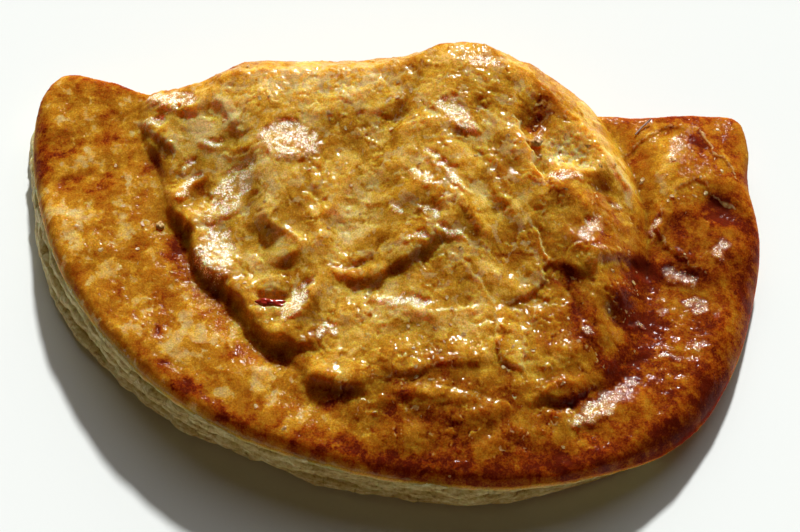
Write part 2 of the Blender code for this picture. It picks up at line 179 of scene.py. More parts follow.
# Creases: path, width in mm, depth in mm
CREASES = {
    "first lobe's": ([(-0.649, 0.71), (-0.583, 0.678), (-0.544, 0.672), (-0.466, 0.695)], 1.04, 0.42),
    "fourth lobe's": ([(-0.443, 0.496), (-0.473, 0.444), (-0.525, 0.342), (-0.584, 0.2)], 1.52, 0.50),
    "third lobe's": ([(-0.502, 0.475), (-0.554, 0.402), (-0.61, 0.327)], 0.96, 0.30),
    "left facet's": ([(-0.334, 0.458), (-0.353, 0.382), (-0.384, 0.261), (-0.404, 0.172)], 1.52, 0.68),
    "between facets": ([(-0.574, 0.165), (-0.486, 0.176), (-0.425, 0.178)], 0.8, 0.36),
    "lower facet's": ([(-0.415, 0.158), (-0.404, 0.048), (-0.394, -0.072)], 1.12, 0.5),
    "diagonal": ([(-0.273, 0.479), (-0.241, 0.368), (-0.221, 0.285), (-0.161, 0.22)], 0.72, 0.4),
    "main facet's": ([(-0.171, 0.622), (-0.181, 0.539), (-0.222, 0.448), (-0.291, 0.35)], 1.04, 0.43),
    "blob's": ([(0.061, 0.761), (0.03, 0.641), (0.01, 0.582), (-0.04, 0.53)], 1.2, 0.72),
    "arc": ([(0.212, 0.246), (0.181, 0.217), (0.151, 0.165), (0.151, 0.116)], 0.64, 0.29),
    "crown's left": ([(0.06, 0.509), (0.07, 0.402), (0.03, 0.309), (-0.02, 0.244)], 1.2, 0.36),
    "crown's right": ([(0.223, 0.55), (0.242, 0.394), (0.252, 0.237), (0.281, 0.1)], 0.96, 0.4),
    "right front": (
        [(0.348, -0.661), (0.429, -0.646), (0.489, -0.595), (0.53, -0.551), (0.57, -0.486),
         (0.609, -0.418), (0.669, -0.397)], 1.04, 0.86),
    "right lobe's": (
        [(0.421, -0.062), (0.441, -0.111), (0.48, -0.205), (0.5, -0.289), (0.55, -0.33)], 1.28, 0.72),
    "horn's foot": (
        [(0.623, 0.565), (0.665, 0.48), (0.686, 0.282), (0.679, 0.064), (0.699, -0.025)], 1.76, 0.79),
    "front": ([(0.12, -0.588), (0.199, -0.609), (0.279, -0.632), (0.329, -0.608)], 0.88, 0.5),
    "front middle": ([(-0.04, -0.589), (0.03, -0.631), (0.1, -0.651)], 0.8, 0.43),
    "rim arc": (
        [(-0.95, 0.546), (-0.9, 0.595), (-0.84, 0.639), (-0.79, 0.652), (-0.74, 0.619)], 1.28, 0.18),
    "rim arc two": ([(-0.92, 0.386), (-0.88, 0.448), (-0.84, 0.487), (-0.8, 0.471)], 0.96, 0.16),
    "rim spot": ([(-0.62, -0.265), (-0.61, -0.306), (-0.6, -0.348)], 1.12, 0.29),
    "rim streak": ([(-0.59, -0.502), (-0.53, -0.572), (-0.47, -0.632), (-0.41, -0.716)], 1.28, 0.18),
}

# Overhanging folds: path with the high side on its left, the rise's width, its height and
# the run back down to nothing, in mm
STEPS = {
    "left cliff": (
        [(-0.625, 0.44), (-0.614, 0.337), (-0.598, 0.257), (-0.567, 0.202), (-0.546, 0.142),
         (-0.539, 0.078), (-0.527, 0.011), (-0.493, -0.038), (-0.466, -0.086), (-0.425, -0.144),
         (-0.403, -0.202), (-0.378, -0.27), (-0.353, -0.322), (-0.324, -0.365), (-0.281, -0.376),
         (-0.216, -0.395), (-0.12, -0.409)], 2.8, 2.9, 8),
    "middle fold": (
        [(-0.21, -0.056), (-0.131, -0.108), (-0.05, -0.126), (0.02, -0.077), (0.08, -0.03),
         (0.13, 0.024), (0.201, 0.04)], 2.6, 1.6, 10),
    "front flap": ([(-0.249, -0.528), (-0.18, -0.565), (-0.11, -0.584), (-0.06, -0.589)], 2.0, 1.9, 7),
    "front crease": ([(-0.06, -0.528), (0.08, -0.52), (0.2, -0.497), (0.299, -0.483)], 2.6, 0.7, 9),
    "right crease": (
        [(0.358, -0.637), (0.459, -0.618), (0.54, -0.549), (0.599, -0.46), (0.638, -0.365)], 2.4, 1.3, 8),
    "right fold": (
        [(0.4, -0.04), (0.451, -0.068), (0.501, -0.082), (0.562, -0.021), (0.621, 0.03),
         (0.679, 0.045)], 2.4, 1.6, 8),
}

# Torn sheets: the same measures for thin, ragged steps whose edges stay pale
SHEETS = {
    "tear": (
        [(0.419, 0.274), (0.399, 0.31), (0.37, 0.433), (0.351, 0.49), (0.342, 0.553),
         (0.322, 0.614)], 0.7, 1.8, 7.0),
    "right sheet": (
        [(0.27, -0.232), (0.31, -0.22), (0.38, -0.17), (0.4, -0.1), (0.41, -0.038), (0.39, 0.038),
         (0.36, 0.165)], 0.7, 1.2, 7.0),
    "yellow sheet": (
        [(0.27, -0.22), (0.265, -0.326), (0.284, -0.484), (0.339, -0.503), (0.345, -0.378),
         (0.37, -0.293), (0.385, -0.181)], 0.6, 0.7, 6.0),
    "tier edge": ([(0.26, -0.242), (0.21, -0.247), (0.15, -0.27), (0.08, -0.299)], 0.6, 0.6, 5.0),
    "tier front": (
        [(-0.08, -0.555), (0.02, -0.545), (0.09, -0.52), (0.13, -0.508), (0.2, -0.486)], 0.7, 0.45, 8.0),
    "brown border": (
        [(0.27, -0.243), (0.221, -0.125), (0.201, -0.075), (0.211, -0.013)], 0.6, 0.7, 4.0),
    "left flap": ([(-0.719, 0.743), (-0.657, 0.628), (-0.601, 0.552), (-0.606, 0.465)], 0.8, 1.0, 3.5),
    "horn's inner sheet": (
        [(0.728, 0.34), (0.716, 0.223), (0.732, 0.138), (0.764, 0.094), (0.794, 0.044),
         (0.853, -0.003)], 0.8, 0.7, 6.0),
    "horn's burst": (
        [(0.744, 0.33), (0.766, 0.362), (0.787, 0.408), (0.827, 0.43), (0.856, 0.401), (0.883, 0.348),
         (0.944, 0.311)], 1.4, 0.7, 5.0),
    "horn's outer sheet": (
        [(0.832, 0.743), (0.864, 0.656), (0.876, 0.585), (0.916, 0.532), (0.945, 0.428)], 0.6, 0.8, 4.0),
    "horn's back sheet": (
        [(0.617, 0.525), (0.679, 0.649), (0.762, 0.716), (0.833, 0.7)], 0.7, 0.7, 4.0),
    "back flake": ([(-0.506, 0.767), (-0.466, 0.695), (-0.422, 0.577), (-0.364, 0.579)], 0.7, 0.8, 5.0),
}

# Mounds and hollows: place, reach along and across in mm, turn in degrees, height in mm
MOUNDS = {
    "right horn blister": ((0.827, 0.43), 15.0, 19.0, 8, 5.0),
    "right rim": ((0.805, 0.067), 11.0, 8.0, 0, 1.6),
    "burst hollow": ((0.885, 0.318), 4.6, 3.8, -50, -1.6),
    "torn hollow": ((0.382, 0.579), 3.6, 4.6, -35, -2.2),
    "torn pocket": ((0.409, 0.357), 2.6, 2.0, -50, -1.6),
    "torn slope": ((0.471, 0.435), 7.0, 5.0, -20, -1.6),
    "middle hollow": ((-0.09, 0.17), 5.0, 12.0, -22, -1),
    "left hollow": ((-0.329, 0.082), 3.8, 4.4, 12, -0.7),
    "lower left hollow": ((-0.269, -0.065), 2.8, 3.4, 12, -0.6),
    "back left hollow": ((-0.421, 0.539), 7.0, 2.6, 8, -0.5),
    "red hollow": ((-0.505, 0.691), 3.6, 1.7, -28, -0.5),
    "flap hollow": ((-0.647, 0.494), 2.6, 5.0, 20, -0.4),
    "back right hollow": ((0.597, 0.6), 6.0, 6.0, 0, -0.6),
    "right lobe's hollow": ((0.59, -0.249), 2.6, 4.0, 10, -1.5),
    "deep spot": ((0.67, 0.026), 3.0, 2.2, 20, -1.4),
    "brown dip": ((0.561, 0.304), 2.8, 1.8, -10, -1),
    "slit": ((-0.322, -0.168), 4.0, 1.25, -6, -1.8),
    "slit lip": ((-0.316, -0.237), 4.4, 1.3, -8, 0.9),
    "flap pocket": ((-0.091, -0.047), 3.4, 1.1, 8, -1.2),
    "small red pit": ((-0.443, -0.091), 1.3, 1.0, 0, -0.9),
}

# Facets pressed flat so that they face halfway between the sun and the eye: place, reach along
# and across in mm, turn in degrees, and the share of the way to flat
FACETS = {
    "main": ((-0.281, 0.506), 8.2, 5.8, -8, 0.6),
    "left": ((-0.442, 0.315), 10.5, 4.8, 54, 0.62),
    "lower left": ((-0.469, 0.046), 8.6, 5.2, 100, 0.5),
    "rope": ((-0.251, -0.204), 7.6, 1.7, 61, 0.8),
    "first lobe": ((-0.61, 0.777), 7.0, 2.6, -14, 0.7),
    "second lobe": ((-0.653, 0.684), 2.8, 1.9, -20, 0.6),
    "third lobe": ((-0.492, 0.546), 2.6, 1.7, 0, 0.7),
    "third lobe two": ((-0.553, 0.47), 3.0, 1.4, 45, 0.7),
    "fourth lobe": ((-0.56, 0.367), 4.6, 1.7, 40, 0.7),
    "crown": ((0.173, 0.576), 6.6, 3.4, -45, 0.75),
    "crown's streak": ((0.121, 0.355), 5.0, 1.5, -45, 0.8),
    "crown's streak two": ((0.162, 0.296), 5.6, 1.8, -55, 0.8),
    "crown's streak three": ((0.075, 0.282), 4.4, 1.3, -35, 0.75),
    "brow": ((0.101, 0.128), 3.0, 1.3, -30, 0.7),
    "brow two": ((0.151, 0.051), 4.0, 1.3, -20, 0.7),
    "brow three": ((0.06, 0.026), 3.4, 1.3, 10, 0.7),
    "brow four": ((0.01, 0.159), 1.6, 1.1, -50, 0.6),
    "right lobe": ((0.525, 0.098), 6.6, 1.7, 54, 0.75),
    "right lobe's end": ((0.541, 0.011), 1.9, 1.4, 0, 0.6),
    "torn bump": ((0.459, 0.324), 4.4, 2.0, 0, 0.75),
    "bright spot": ((0.601, 0.273), 1.5, 1.2, 0, 0.6),
    "tier": ((0.02, -0.227), 7.5, 2.2, -8, 0.6),
    "tier's left": ((-0.17, -0.326), 4.2, 1.8, 20, 0.6),
    "right dark": ((0.648, -0.241), 2.5, 1.1, 10, 0.7),
    "right dark two": ((0.719, -0.154), 2.3, 1.7, 40, 0.7),
    "right rim one": ((0.773, -0.004), 4.6, 2.4, -20, 0.6),
    "right rim two": ((0.811, -0.126), 3.6, 2.6, -10, 0.6),
    "right rim three": ((0.81, -0.312), 2.0, 1.9, 0, 0.7),
    "right rim four": ((0.73, -0.375), 2.3, 0.9, -8, 0.6),
    "right small": ((0.51, -0.33), 2.0, 0.9, -25, 0.6),
    "front right": ((0.53, -0.64), 9.0, 2.8, 35, 0.7),
    "front right two": ((0.61, -0.517), 2.8, 1.4, 50, 0.5),
    "horn": ((0.775, 0.606), 4.4, 2.4, 80, 0.7),
    "horn's front": ((0.885, 0.126), 3.8, 1.9, 65, 0.7),
    "horn's seam": ((0.711, 0.221), 4.2, 1.0, 69, 0.6),
    "crest": ((0.245, 0.831), 4.0, 1.6, -10, 0.5),
}

# Wall from the rim's edge down: share of the way down, then how far it stands out, in mm, at
# the sealed edge (a lip over a deep groove that the leaves fill) and at the rounded fold
WALL_DOWN = (0.00, 0.08, 0.16, 0.21, 0.26, 0.40, 0.70, 0.90, 1.00)
WALL_SEALED = (0.0, 0.45, 0.30, -0.9, -2.8, -3.6, -3.4, -3.0, -2.8)
WALL_FOLD = (0.0, -0.05, -0.3, -0.5, -0.7, -1.2, -3.2, -5.2, -7.0)
WALL_ROWS = 22
WALL_WOBBLE = 0.22  # in mm
GLAZED_DOWN = 0.17  # down to this share the sealed wall is glazed like the top; the fold is all through

# The leaves' top below the rim's edge and their bottom above the table; then, in mm, how far in from
# the edge they lie at the top and at the bottom, and how much further at their ends
LEAF_TOP = 1.9 * MM
LEAF_BOTTOM = 2.55 * MM
LEAF_IN_TOP = 3.1
LEAF_IN_BOTTOM = 2.2
LEAF_IN_ENDS = 5
LEAF_SIZES = {"Leaves": 4, "Half width": 3.4 * MM, "Half thickness": 2.0 * MM, "Wave": 8.0 * MM,
              "Raggedness": 4.0 * MM, "Seed": 3.0}

# Loose flakes: how thickly they are strewn all over, and how much more in some patches: amount, then
# place, reach along and across in mm and turn in degrees
STREWN_ALL = 0.10
STREWN = [
    (1.0, ((0.42, 0.46), 12, 8, -30)), (0.5, ((0.05, 0.62), 16, 6, 0)), (0.5, ((0.10, -0.45), 22, 7, 0)),
    (0.6, ((0.78, 0.4), 9, 12, 0)), (0.3, ((-0.5, -0.4), 12, 6, -40)),
]
FLAKE_SIZES = {"Density": 60000.0, "Size": 0.75 * MM, "Thickness": 0.5 * MM, "Seed": 5}

# Lumps: place, three half sizes in mm, turn in degrees, height of the middle in mm
FILLING = [((-0.319, -0.200), (3.6, 1.0, 0.9), -6, 0.5)]
CRUMBS = [((0.385, 0.475), (1.5, 1.2, 1.0), 20, 1.0), ((-0.628, 0.208), (1.0, 1.1, 0.8), 0, 0.5)]

# The shred behind the right horn: its places and how far it stands off there, in mm
SHRED = [((0.67, 0.685), 0.5), ((0.69, 0.725), 0.8), ((0.705, 0.75), 1.1), ((0.715, 0.765), 1.4)]
SHRED_RADIUS = 0.22 * MM

# Browning on the crust, and painted shade where shadows fall in its valleys, pit and hollows: place,
# reach along and across in mm, turn in degrees, and amount (darker above 0, paler below)
BROWNING_AND_SHADE = {
    "dome's right": ((0.52, 0.12), 11, 12, 0, 0.10),
    "horn's fold": ((0.80, 0.74), 16, 6, 0, 0.04),
    "left horn": ((-0.93, 0.896), 12, 5, 60, 0.04),
    "left brink": ((-0.97, 0.657), 10, 3.5, 80, 0.10),
    "rim blotch": ((-0.8, 0.419), 5, 4, 20, 0.10),
    "rim blotch two": ((-0.61, -0.306), 1.8, 2.6, 10, 0.42),
    "rim blotch three": ((-0.74, -0.109), 3.0, 1.2, -20, 0.22),
    "rim blotch four": ((-0.605, -0.446), 3.4, 1.1, 0, 0.30),
    "flap": ((-0.648, 0.519), 3.4, 5.5, 20, 0.18),
    # painted shade in the red hollow, where shade falls
    "red hollow": ((-0.505, 0.691), 4.4, 1.8, -28, 0.24),
    # painted shade: the three left valleys darken the band where the left cliff's shadow falls
    "left valley": ((-0.575, 0.1), 3.2, 8.5, 8, 0.28),
    "left valley two": ((-0.47, -0.143), 9.5, 4.4, -48, 0.27),
    "left valley three": ((-0.33, -0.413), 9.0, 3.8, -20, 0.24),
    # painted shade: darker in the front pit, where the front flap's shadow falls
    "pit": ((-0.165, -0.61), 6.4, 3.0, -24, 0.26),
    "left vee": ((-0.329, 0.082), 4.0, 4.0, 0, 0.20),
    "left vee two": ((-0.269, -0.065), 3.0, 3.4, 0, 0.24),
    "facet's groove": ((-0.373, 0.264), 2.2, 9.0, -12, 0.10),
    "fourth groove": ((-0.525, 0.335), 1.6, 8.0, -24, 0.16),
    "middle left": ((-0.26, 0.267), 4.6, 4.0, 0, 0.14),
    "blob's crease": ((0.03, 0.641), 2.0, 5.0, -20, 0.16),
    "middle lip": ((0, -0.11), 10, 2.0, 10, 0.12),
    "front middle": ((0.10, -0.84), 26, 7.0, 0, 0.10),
    "front": ((0.139, -0.693), 26, 8.0, -4, 0.22),
    "front low": ((0.3, -0.871), 30, 5.0, 6, 0.20),
    "front left": ((-0.2, -0.772), 16, 3.0, -22, 0.12),
    "tier two": ((0.12, -0.50), 11, 5.0, 0, 0.14),
    "brown patch": ((0.321, 0.01), 3.4, 5.0, 0, 0.20),
    "brown patch two": ((0.231, -0.158), 2.0, 3.4, 30, 0.16),
    "right sheet": ((0.439, -0.313), 7.0, 10.0, 0, 0.16),
    # painted shade: darker in the triangle where the right lobe's shadow falls
    "right hollow": ((0.461, -0.089), 4.2, 2.0, -20, 0.34),
    "right crease": ((0.49, -0.227), 2.0, 6.0, 20, 0.30),
    "right dark": ((0.619, -0.23), 9.0, 9.0, 0, 0.30),
    "right dark two": ((0.599, -0.429), 10, 4.0, 40, 0.26),
    "deep spot": ((0.67, 0.026), 4.0, 3.0, 20, 0.50),
    "right front crease": ((0.499, -0.601), 9.0, 2.0, 28, 0.30),
    "right rim": ((0.84, -0.271), 14, 12, 60, 0.08),
    "right brink": ((0.796, -0.622), 22, 5.0, 48, 0.20),
    "right edge": ((0.962, 0.097), 14, 4.5, 85, 0.18),
    "horn": ((0.802, 0.752), 12, 4.4, 0, 0.18),
    "horn's top": ((0.84, 0.536), 11, 12, 0, 0.10),
    "horn's dark": ((0.835, 0.625), 2.4, 3.6, 10, 0.44),
    "burst": ((0.892, 0.308), 4.6, 3.8, -50, 0.46),
    "horn's edge": ((0.945, 0.504), 4.0, 8.0, 10, 0.20),
    "horn's inner": ((0.796, 0.238), 5.0, 5.5, 0, 0.14),
    # painted shade: darker in the torn hollow under the overhanging sheet's edge
    "torn hollow": ((0.387, 0.586), 4.0, 5.0, -35, 0.40),
    "horn's foot": ((0.659, 0.57), 5.0, 8.0, 10, 0.14),
    "brown dip": ((0.561, 0.304), 3.0, 2.0, -10, 0.14),
}

# Paler places, in the same measures; at the dome's left and the left lobes this is painted light
PALE = {
    "dome's crest": ((0.15, 0.45), 16, 16, 0, -0.05),
    # painted light: paler where the dome's left slopes face away from the sun
    "dome's left": ((-0.34, 0.22), 15, 24, 0, -0.16),
    "dome's middle": ((-0.02, 0.30), 22, 20, 0, -0.05),
    "crest": ((-0.183, 0.739), 26, 7.0, 0, -0.16),
    "back": ((-0.021, 1.038), 50, 5.0, 0, -0.06),
    "middle hollow": ((-0.09, 0.17), 5.0, 11, -22, -0.24),
    "tier": ((0.02, -0.283), 17, 7.0, 0, -0.26),
    # painted light: paler on the upper left lobes, whose slopes lie in shade
    "left lobes": ((-0.51, 0.62), 12, 8, 0, -0.28),
    "yellow sheet": ((0.32, -0.339), 4.0, 8.0, 6, -0.24),
    "yellow sheet two": ((0.241, -0.043), 3.4, 5.0, 0, -0.18),
    "rim one": ((-0.56, -0.328), 4.5, 2.4, 30, -0.22),
    "rim two": ((-0.7, -0.275), 4.0, 3.0, 0, -0.20),
    "rim three": ((-0.52, -0.442), 5.0, 3.0, -30, -0.18),
    "rim four": ((-0.349, -0.551), 7.0, 3.0, -28, -0.20),
    "rim five": ((-0.83, 0.547), 5.0, 3.0, 10, -0.16),
    "rim six": ((-0.8, 0.187), 8.0, 7.0, 0, -0.10),
    "rim seven": ((-0.88, 0.297), 4.0, 6.0, 0, -0.12),
    "rim eight": ((-0.45, -0.572), 4.0, 2.0, -40, -0.14),
    "slit lip": ((-0.316, -0.242), 4.4, 1.5, -8, -0.40),
    "tear": ((0.482, 0.459), 8.0, 7.0, -20, -0.26),
    "fold by the horn": ((0.621, 0.395), 3.4, 8.0, 20, -0.28),
    "horn's pale": ((0.745, 0.479), 3.0, 8.0, 6, -0.26),
    "horn's back": ((0.722, 0.674), 7.0, 3.0, 0, -0.22),
    "front spot": ((-0.13, -0.533), 4.0, 1.6, 0, -0.20),
    "front spot two": ((0.359, -0.541), 4.0, 2.0, 20, -0.12),
    "front right": ((0.5, -0.666), 9.0, 3.0, 30, -0.12),
}

# Brown lines on the rim: path, width in mm, amount
STREAKS = {
    "arc": (
        [(-0.97, 0.521), (-0.92, 0.586), (-0.87, 0.602), (-0.83, 0.648), (-0.78, 0.661),
         (-0.74, 0.629)], 2.0, 0.24),
    "arc two": ([(-0.92, 0.375), (-0.88, 0.448), (-0.84, 0.487), (-0.8, 0.471)], 1.3, 0.20),
    "left edge": ([(-0.97, 0.787), (-0.984, 0.631), (-0.95, 0.473)], 2.4, 0.20),
    "arc three": ([(-0.73, -0.254), (-0.69, -0.202), (-0.64, -0.171), (-0.61, -0.14)], 1.3, 0.26),
    "streak": (
        [(-0.6, -0.492), (-0.54, -0.562), (-0.47, -0.622), (-0.45, -0.674), (-0.4, -0.727)], 2.2, 0.34),
    "edge": ([(-0.79, -0.119), (-0.7, -0.327), (-0.58, -0.491)], 1.4, 0.12),
    "front edge": (
        [(-0.36, -0.764), (-0.16, -0.843), (0.06, -0.904), (0.3, -0.924), (0.52, -0.848),
         (0.7, -0.678)], 2.6, 0.16),
    "back of the horn": ([(-0.9, 0.975), (-0.8, 0.923), (-0.7, 0.867)], 2.6, 0.10),
    "lip": ([(-0.05, -0.137), (0.02, -0.089), (0.08, -0.04), (0.14, 0.011)], 1.6, 0.14),
}


# Patches whose relief is calmer or whose finish differs: place, reach along and across in mm, turn in
# degrees and how sharply they end
PATCHES = {
    "calm lobes": ((-0.48, 0.50), 20, 16, 40, 3),
    "calm left": ((-0.34, 0.18), 16, 22, 0, 3),
    "tear": ((0.47, 0.44), 7.5, 6.0, -20, 3),
    "crest": ((-0.18, 0.80), 28, 8, 0, 3),
    "side fold": ((0.625, 0.36), 1.6, 7.0, 20, 3),
    "sandy horn": ((0.82, 0.54), 15, 15, 8, 3),
    "horn's side": ((0.735, 0.42), 1.8, 6.0, 6, 3),
    "matt crest": ((-0.1, 0.68), 30, 6, 0, 3),
    "matt horn": ((0.86, 0.62), 12, 12, 0, 3),
    "matt burst": ((0.89, 0.30), 5, 5, 0, 3),
}


# ---------------------------------------------------------------- shapes on the table's plane

def spline(points, closed, steps=CURVE_STEPS):
    """A Catmull-Rom curve through the points."""
    p = np.array(points, float)
    ends = (p[-1:], p[:2]) if closed else (2 * p[:1] - p[1:2], 2 * p[-1:] - p[-2:-1])
    p = np.vstack([ends[0], p, ends[1]])
    t = np.linspace(0, 1, steps, endpoint=False)[:, None]
    spans = [
        b + 0.5 * ((c - a) * t + (2 * a - 5 * b + 4 * c - d) * t**2 + (3 * b - a - 3 * c + d) * t**3)
        for a, b, c, d in zip(p, p[1:], p[2:], p[3:])
    ]
    return np.vstack(spans if closed else spans + [p[-2:-1]])


def placed(shares):
    """Places in metres for shares of the half length and half depth."""
    return np.asarray(shares, float)[..., :2] * HALF + SHIFT


def smooth(t):
    """Eases from 0 to 1 as t goes from 0 to 1."""
    t = np.clip(t, 0, 1)
    return t * t * (3 - 2 * t)


def nearest(xy, path):
    """For each place: its distance from the path, +1 where it lies on the path's left, and the share
    of the path's length at the nearest point."""
    distance, side, along = np.full(len(xy), np.inf), np.zeros(len(xy)), np.zeros(len(xy))
    lengths = np.linalg.norm(np.diff(path, axis=0), axis=1)
    run = 0.0
    for start, end, length in zip(path, path[1:], lengths):
        way = (end - start) / length
        t = np.clip((xy - start) @ way, 0, length)
        off = xy - start - t[:, None] * way
        d = np.hypot(off[:, 0], off[:, 1])
        closer = d < distance
        distance[closer] = d[closer]
        side[closer] = np.sign(way[0] * off[closer, 1] - way[1] * off[closer, 0])
        along[closer] = (run + t[closer]) / lengths.sum()
        run += length
    return distance, side, along


def depth_inside(xy, loop):
    """Distance in from a closed loop, negative outside it."""
    ring = np.vstack([loop, loop[:1]])
    x, y = xy[:, 0], xy[:, 1]
    inside = np.zeros(len(xy), bool)
    for (x1, y1), (x2, y2) in zip(ring, ring[1:]):
        if y1 != y2:
            crosses = (y1 > y) != (y2 > y)
            inside ^= crosses & (x < (x2 - x1) * (y - y1) / (y2 - y1) + x1)
    distance = nearest(xy, ring)[0]
    return np.where(inside, distance, -distance)


def noise(xy, size, seed):
    """Smooth noise from about -1 to 1, in cells of the given size in mm."""
    draw = np.random.RandomState(seed)
    order, turn, start = draw.permutation(256), draw.rand(256) * 2 * math.pi, draw.rand(2) * 200
    p = xy / (size * MM) + start
    cell = np.floor(p).astype(int)
    part = p - cell
    ease = part**3 * (part * (part * 6 - 15) + 10)
    corners = []
    for dx, dy in ((0, 0), (1, 0), (0, 1), (1, 1)):
        angle = turn[order[(order[(cell[:, 0] + dx) % 256] + cell[:, 1] + dy) % 256]]
        corners.append(np.cos(angle) * (part[:, 0] - dx) + np.sin(angle) * (part[:, 1] - dy))
    low = corners[0] + (corners[1] - corners[0]) * ease[:, 0]
    high = corners[2] + (corners[3] - corners[2]) * ease[:, 0]
    return 1.5 * (low + (high - low) * ease[:, 1])


def fractal(xy, size, seed, octaves=3):
    """Noise with finer and fainter noise on it."""
    return sum(noise(xy, size / 2**k, seed + k) / 2**k for k in range(octaves))


def warped(xy, reach, size, seed):
    """The places moved about by smooth noise, so that what is drawn on them looks hand made."""
    shift = np.stack([noise(xy, size, seed), noise(xy, size, seed + 50)], axis=1)
    return xy + reach * MM * shift


def warped_twice(xy, reach, size, seed, fine_reach, fine_size, fine_seed):
    return warped(warped(xy, reach, size, seed), fine_reach, fine_size, fine_seed)


def curly(xy, reach, bend, size, seed, octaves):
    """Fractal noise on warped places."""
    return fractal(warped(xy, reach, bend, seed), size, seed + 2, octaves)


def creased(xy, size, seed):
    """Bulges with sharp creases between them."""
    return np.abs(noise(xy, size, seed)) - 0.4


EDGE_LOOP = placed(spline(RIM_EDGE, True))
FOOT_LOOP = placed(spline(DOME_FOOT, True))


def beside(xy, path, reach, height):
    """What height(distance, side, along) gives within the path's box widened by the reach in mm, and
    0 elsewhere."""
    line, out = placed(spline(path, False)), np.zeros(len(xy))
    low, high = line.min(axis=0) - reach * MM, line.max(axis=0) + reach * MM
    here = np.flatnonzero(((xy > low) & (xy < high)).all(axis=1))
    out[here] = height(*nearest(xy[here], line))
    return out


# ---------------------------------------------------------------- the crust's relief

def ridge(xy, path, left, right, height):
    """A raised line, with a width of its own on its left and on its right."""
    def rise(distance, side, along):
        width = np.where(side > 0, left, right) * MM
        taper = 0.35 + 0.65 * np.sin(math.pi * np.clip(along, 0.04, 0.96)) ** 0.6
        return height * MM * np.exp(-((distance / width) ** 2)) * taper

    return beside(xy, path, 3 * max(left, right), rise)


def crease(xy, path, width, depth):
    """A sunken line with steep sides."""
    def sink(distance, _, along):
        taper = np.sin(math.pi * np.clip(along, 0.02, 0.98)) ** 0.5
        return -depth * MM * np.exp(-((distance / MM / width) ** 1.3)) * taper

    return beside(xy, path, 6 * width, sink)


def step(xy, path, rise, height, run):
    """A rise to the path's left, whose top and foot run back down to nothing."""
    def stand(distance, side, along):
        signed = distance * side / MM
        ends = smooth(np.minimum(along, 1 - along) / 0.25)
        above = smooth(signed / rise + 0.5)
        return height * MM * (above - STEP_BELOW) * (1 - smooth(np.abs(signed) / run)) * ends

    return beside(xy, path, run + rise, stand)


def mound(xy, centre, reach_along, reach_across, turn, height):
    return height * MM * blob(xy, centre, reach_along, reach_across, turn)


def blob(xy, centre, reach_along, reach_across, turn, power=2.5):
    """1 at the centre and 0 outside an oval; the power says how sharply it ends."""
    across, up = ((xy - placed(centre)) / MM).T
    c, s = math.cos(math.radians(turn)), math.sin(math.radians(turn))
    far = np.hypot((across * c + up * s) / reach_along, (up * c - across * s) / reach_across)
    return np.exp(-(far**power))


def crest_over(xy):
    """The height of the crest that each place belongs to, and the place's distance from it."""
    lines = [spline(line, False) for line in CRESTS.values()]
    points = np.vstack(lines)
    far = ((xy[:, None, :] - placed(points)[None]) ** 2).sum(2)
    weight = (far + (5 * MM) ** 2) ** -1.6
    height = (weight * points[:, 2]).sum(1) / weight.sum(1) * HEIGHT
    reaches = np.array([nearest(xy, placed(line))[0] for line in lines])
    blend = CREST_BLEND * MM
    return height, -blend * np.log(np.exp(-reaches / blend).sum(0))


def rim_top(u, v):
    """The rim's height, which is greatest at the front and falls away to both horns."""
    left = smooth((-u - 0.6) / 0.35) * smooth((v - 0.05) / 0.5)
    right = smooth((u - 0.1) / 0.75)
    return RIM_HEIGHT + RIM_GAIN * smooth(-v / 0.5) - RIGHT_LOSS * right - LEFT_LOSS * left


def edge_radius(u, v, back):
    """How far in the rim's top curves down to its edge: furthest at the right front and the left horn."""
    right = smooth((u - 0.5) / 0.35) * smooth((0.35 - v) / 0.4)
    left = smooth((-u - 0.75) / 0.2) * smooth((v - 0.25) / 0.4)
    return EDGE_RADIUS * (1 - 0.5 * back) + ROUNDED_RIGHT * right + ROUNDED_LEFT * left


def table(shape, xy, sizes):
    """One kind of shape made from each row of a table, added up."""
    return sum(shape(xy, *row) for row in sizes.values())


def patch(xy, name):
    return blob(xy, *PATCHES[name])


def press_facet(xy, ragged, z, centre, reach_along, reach_across, turn, share):
    """Lays the crust inside a ragged oval onto a plane that shines."""
    weight = smooth(2.4 * (blob(ragged, centre, reach_along, reach_across, turn, 3.0) - 0.24))
    here = weight > 0
    if not here.any():
        return weight
    off = xy[here] - placed(centre)
    level = (weight[here] * (z[here] - off @ SHINE_SLOPE)).sum() / weight[here].sum()
    lift = (level + off @ SHINE_SLOPE - z[here]) / FACET_LIFT
    z[here] += share * weight[here] * FACET_LIFT * np.tanh(lift)
    return weight


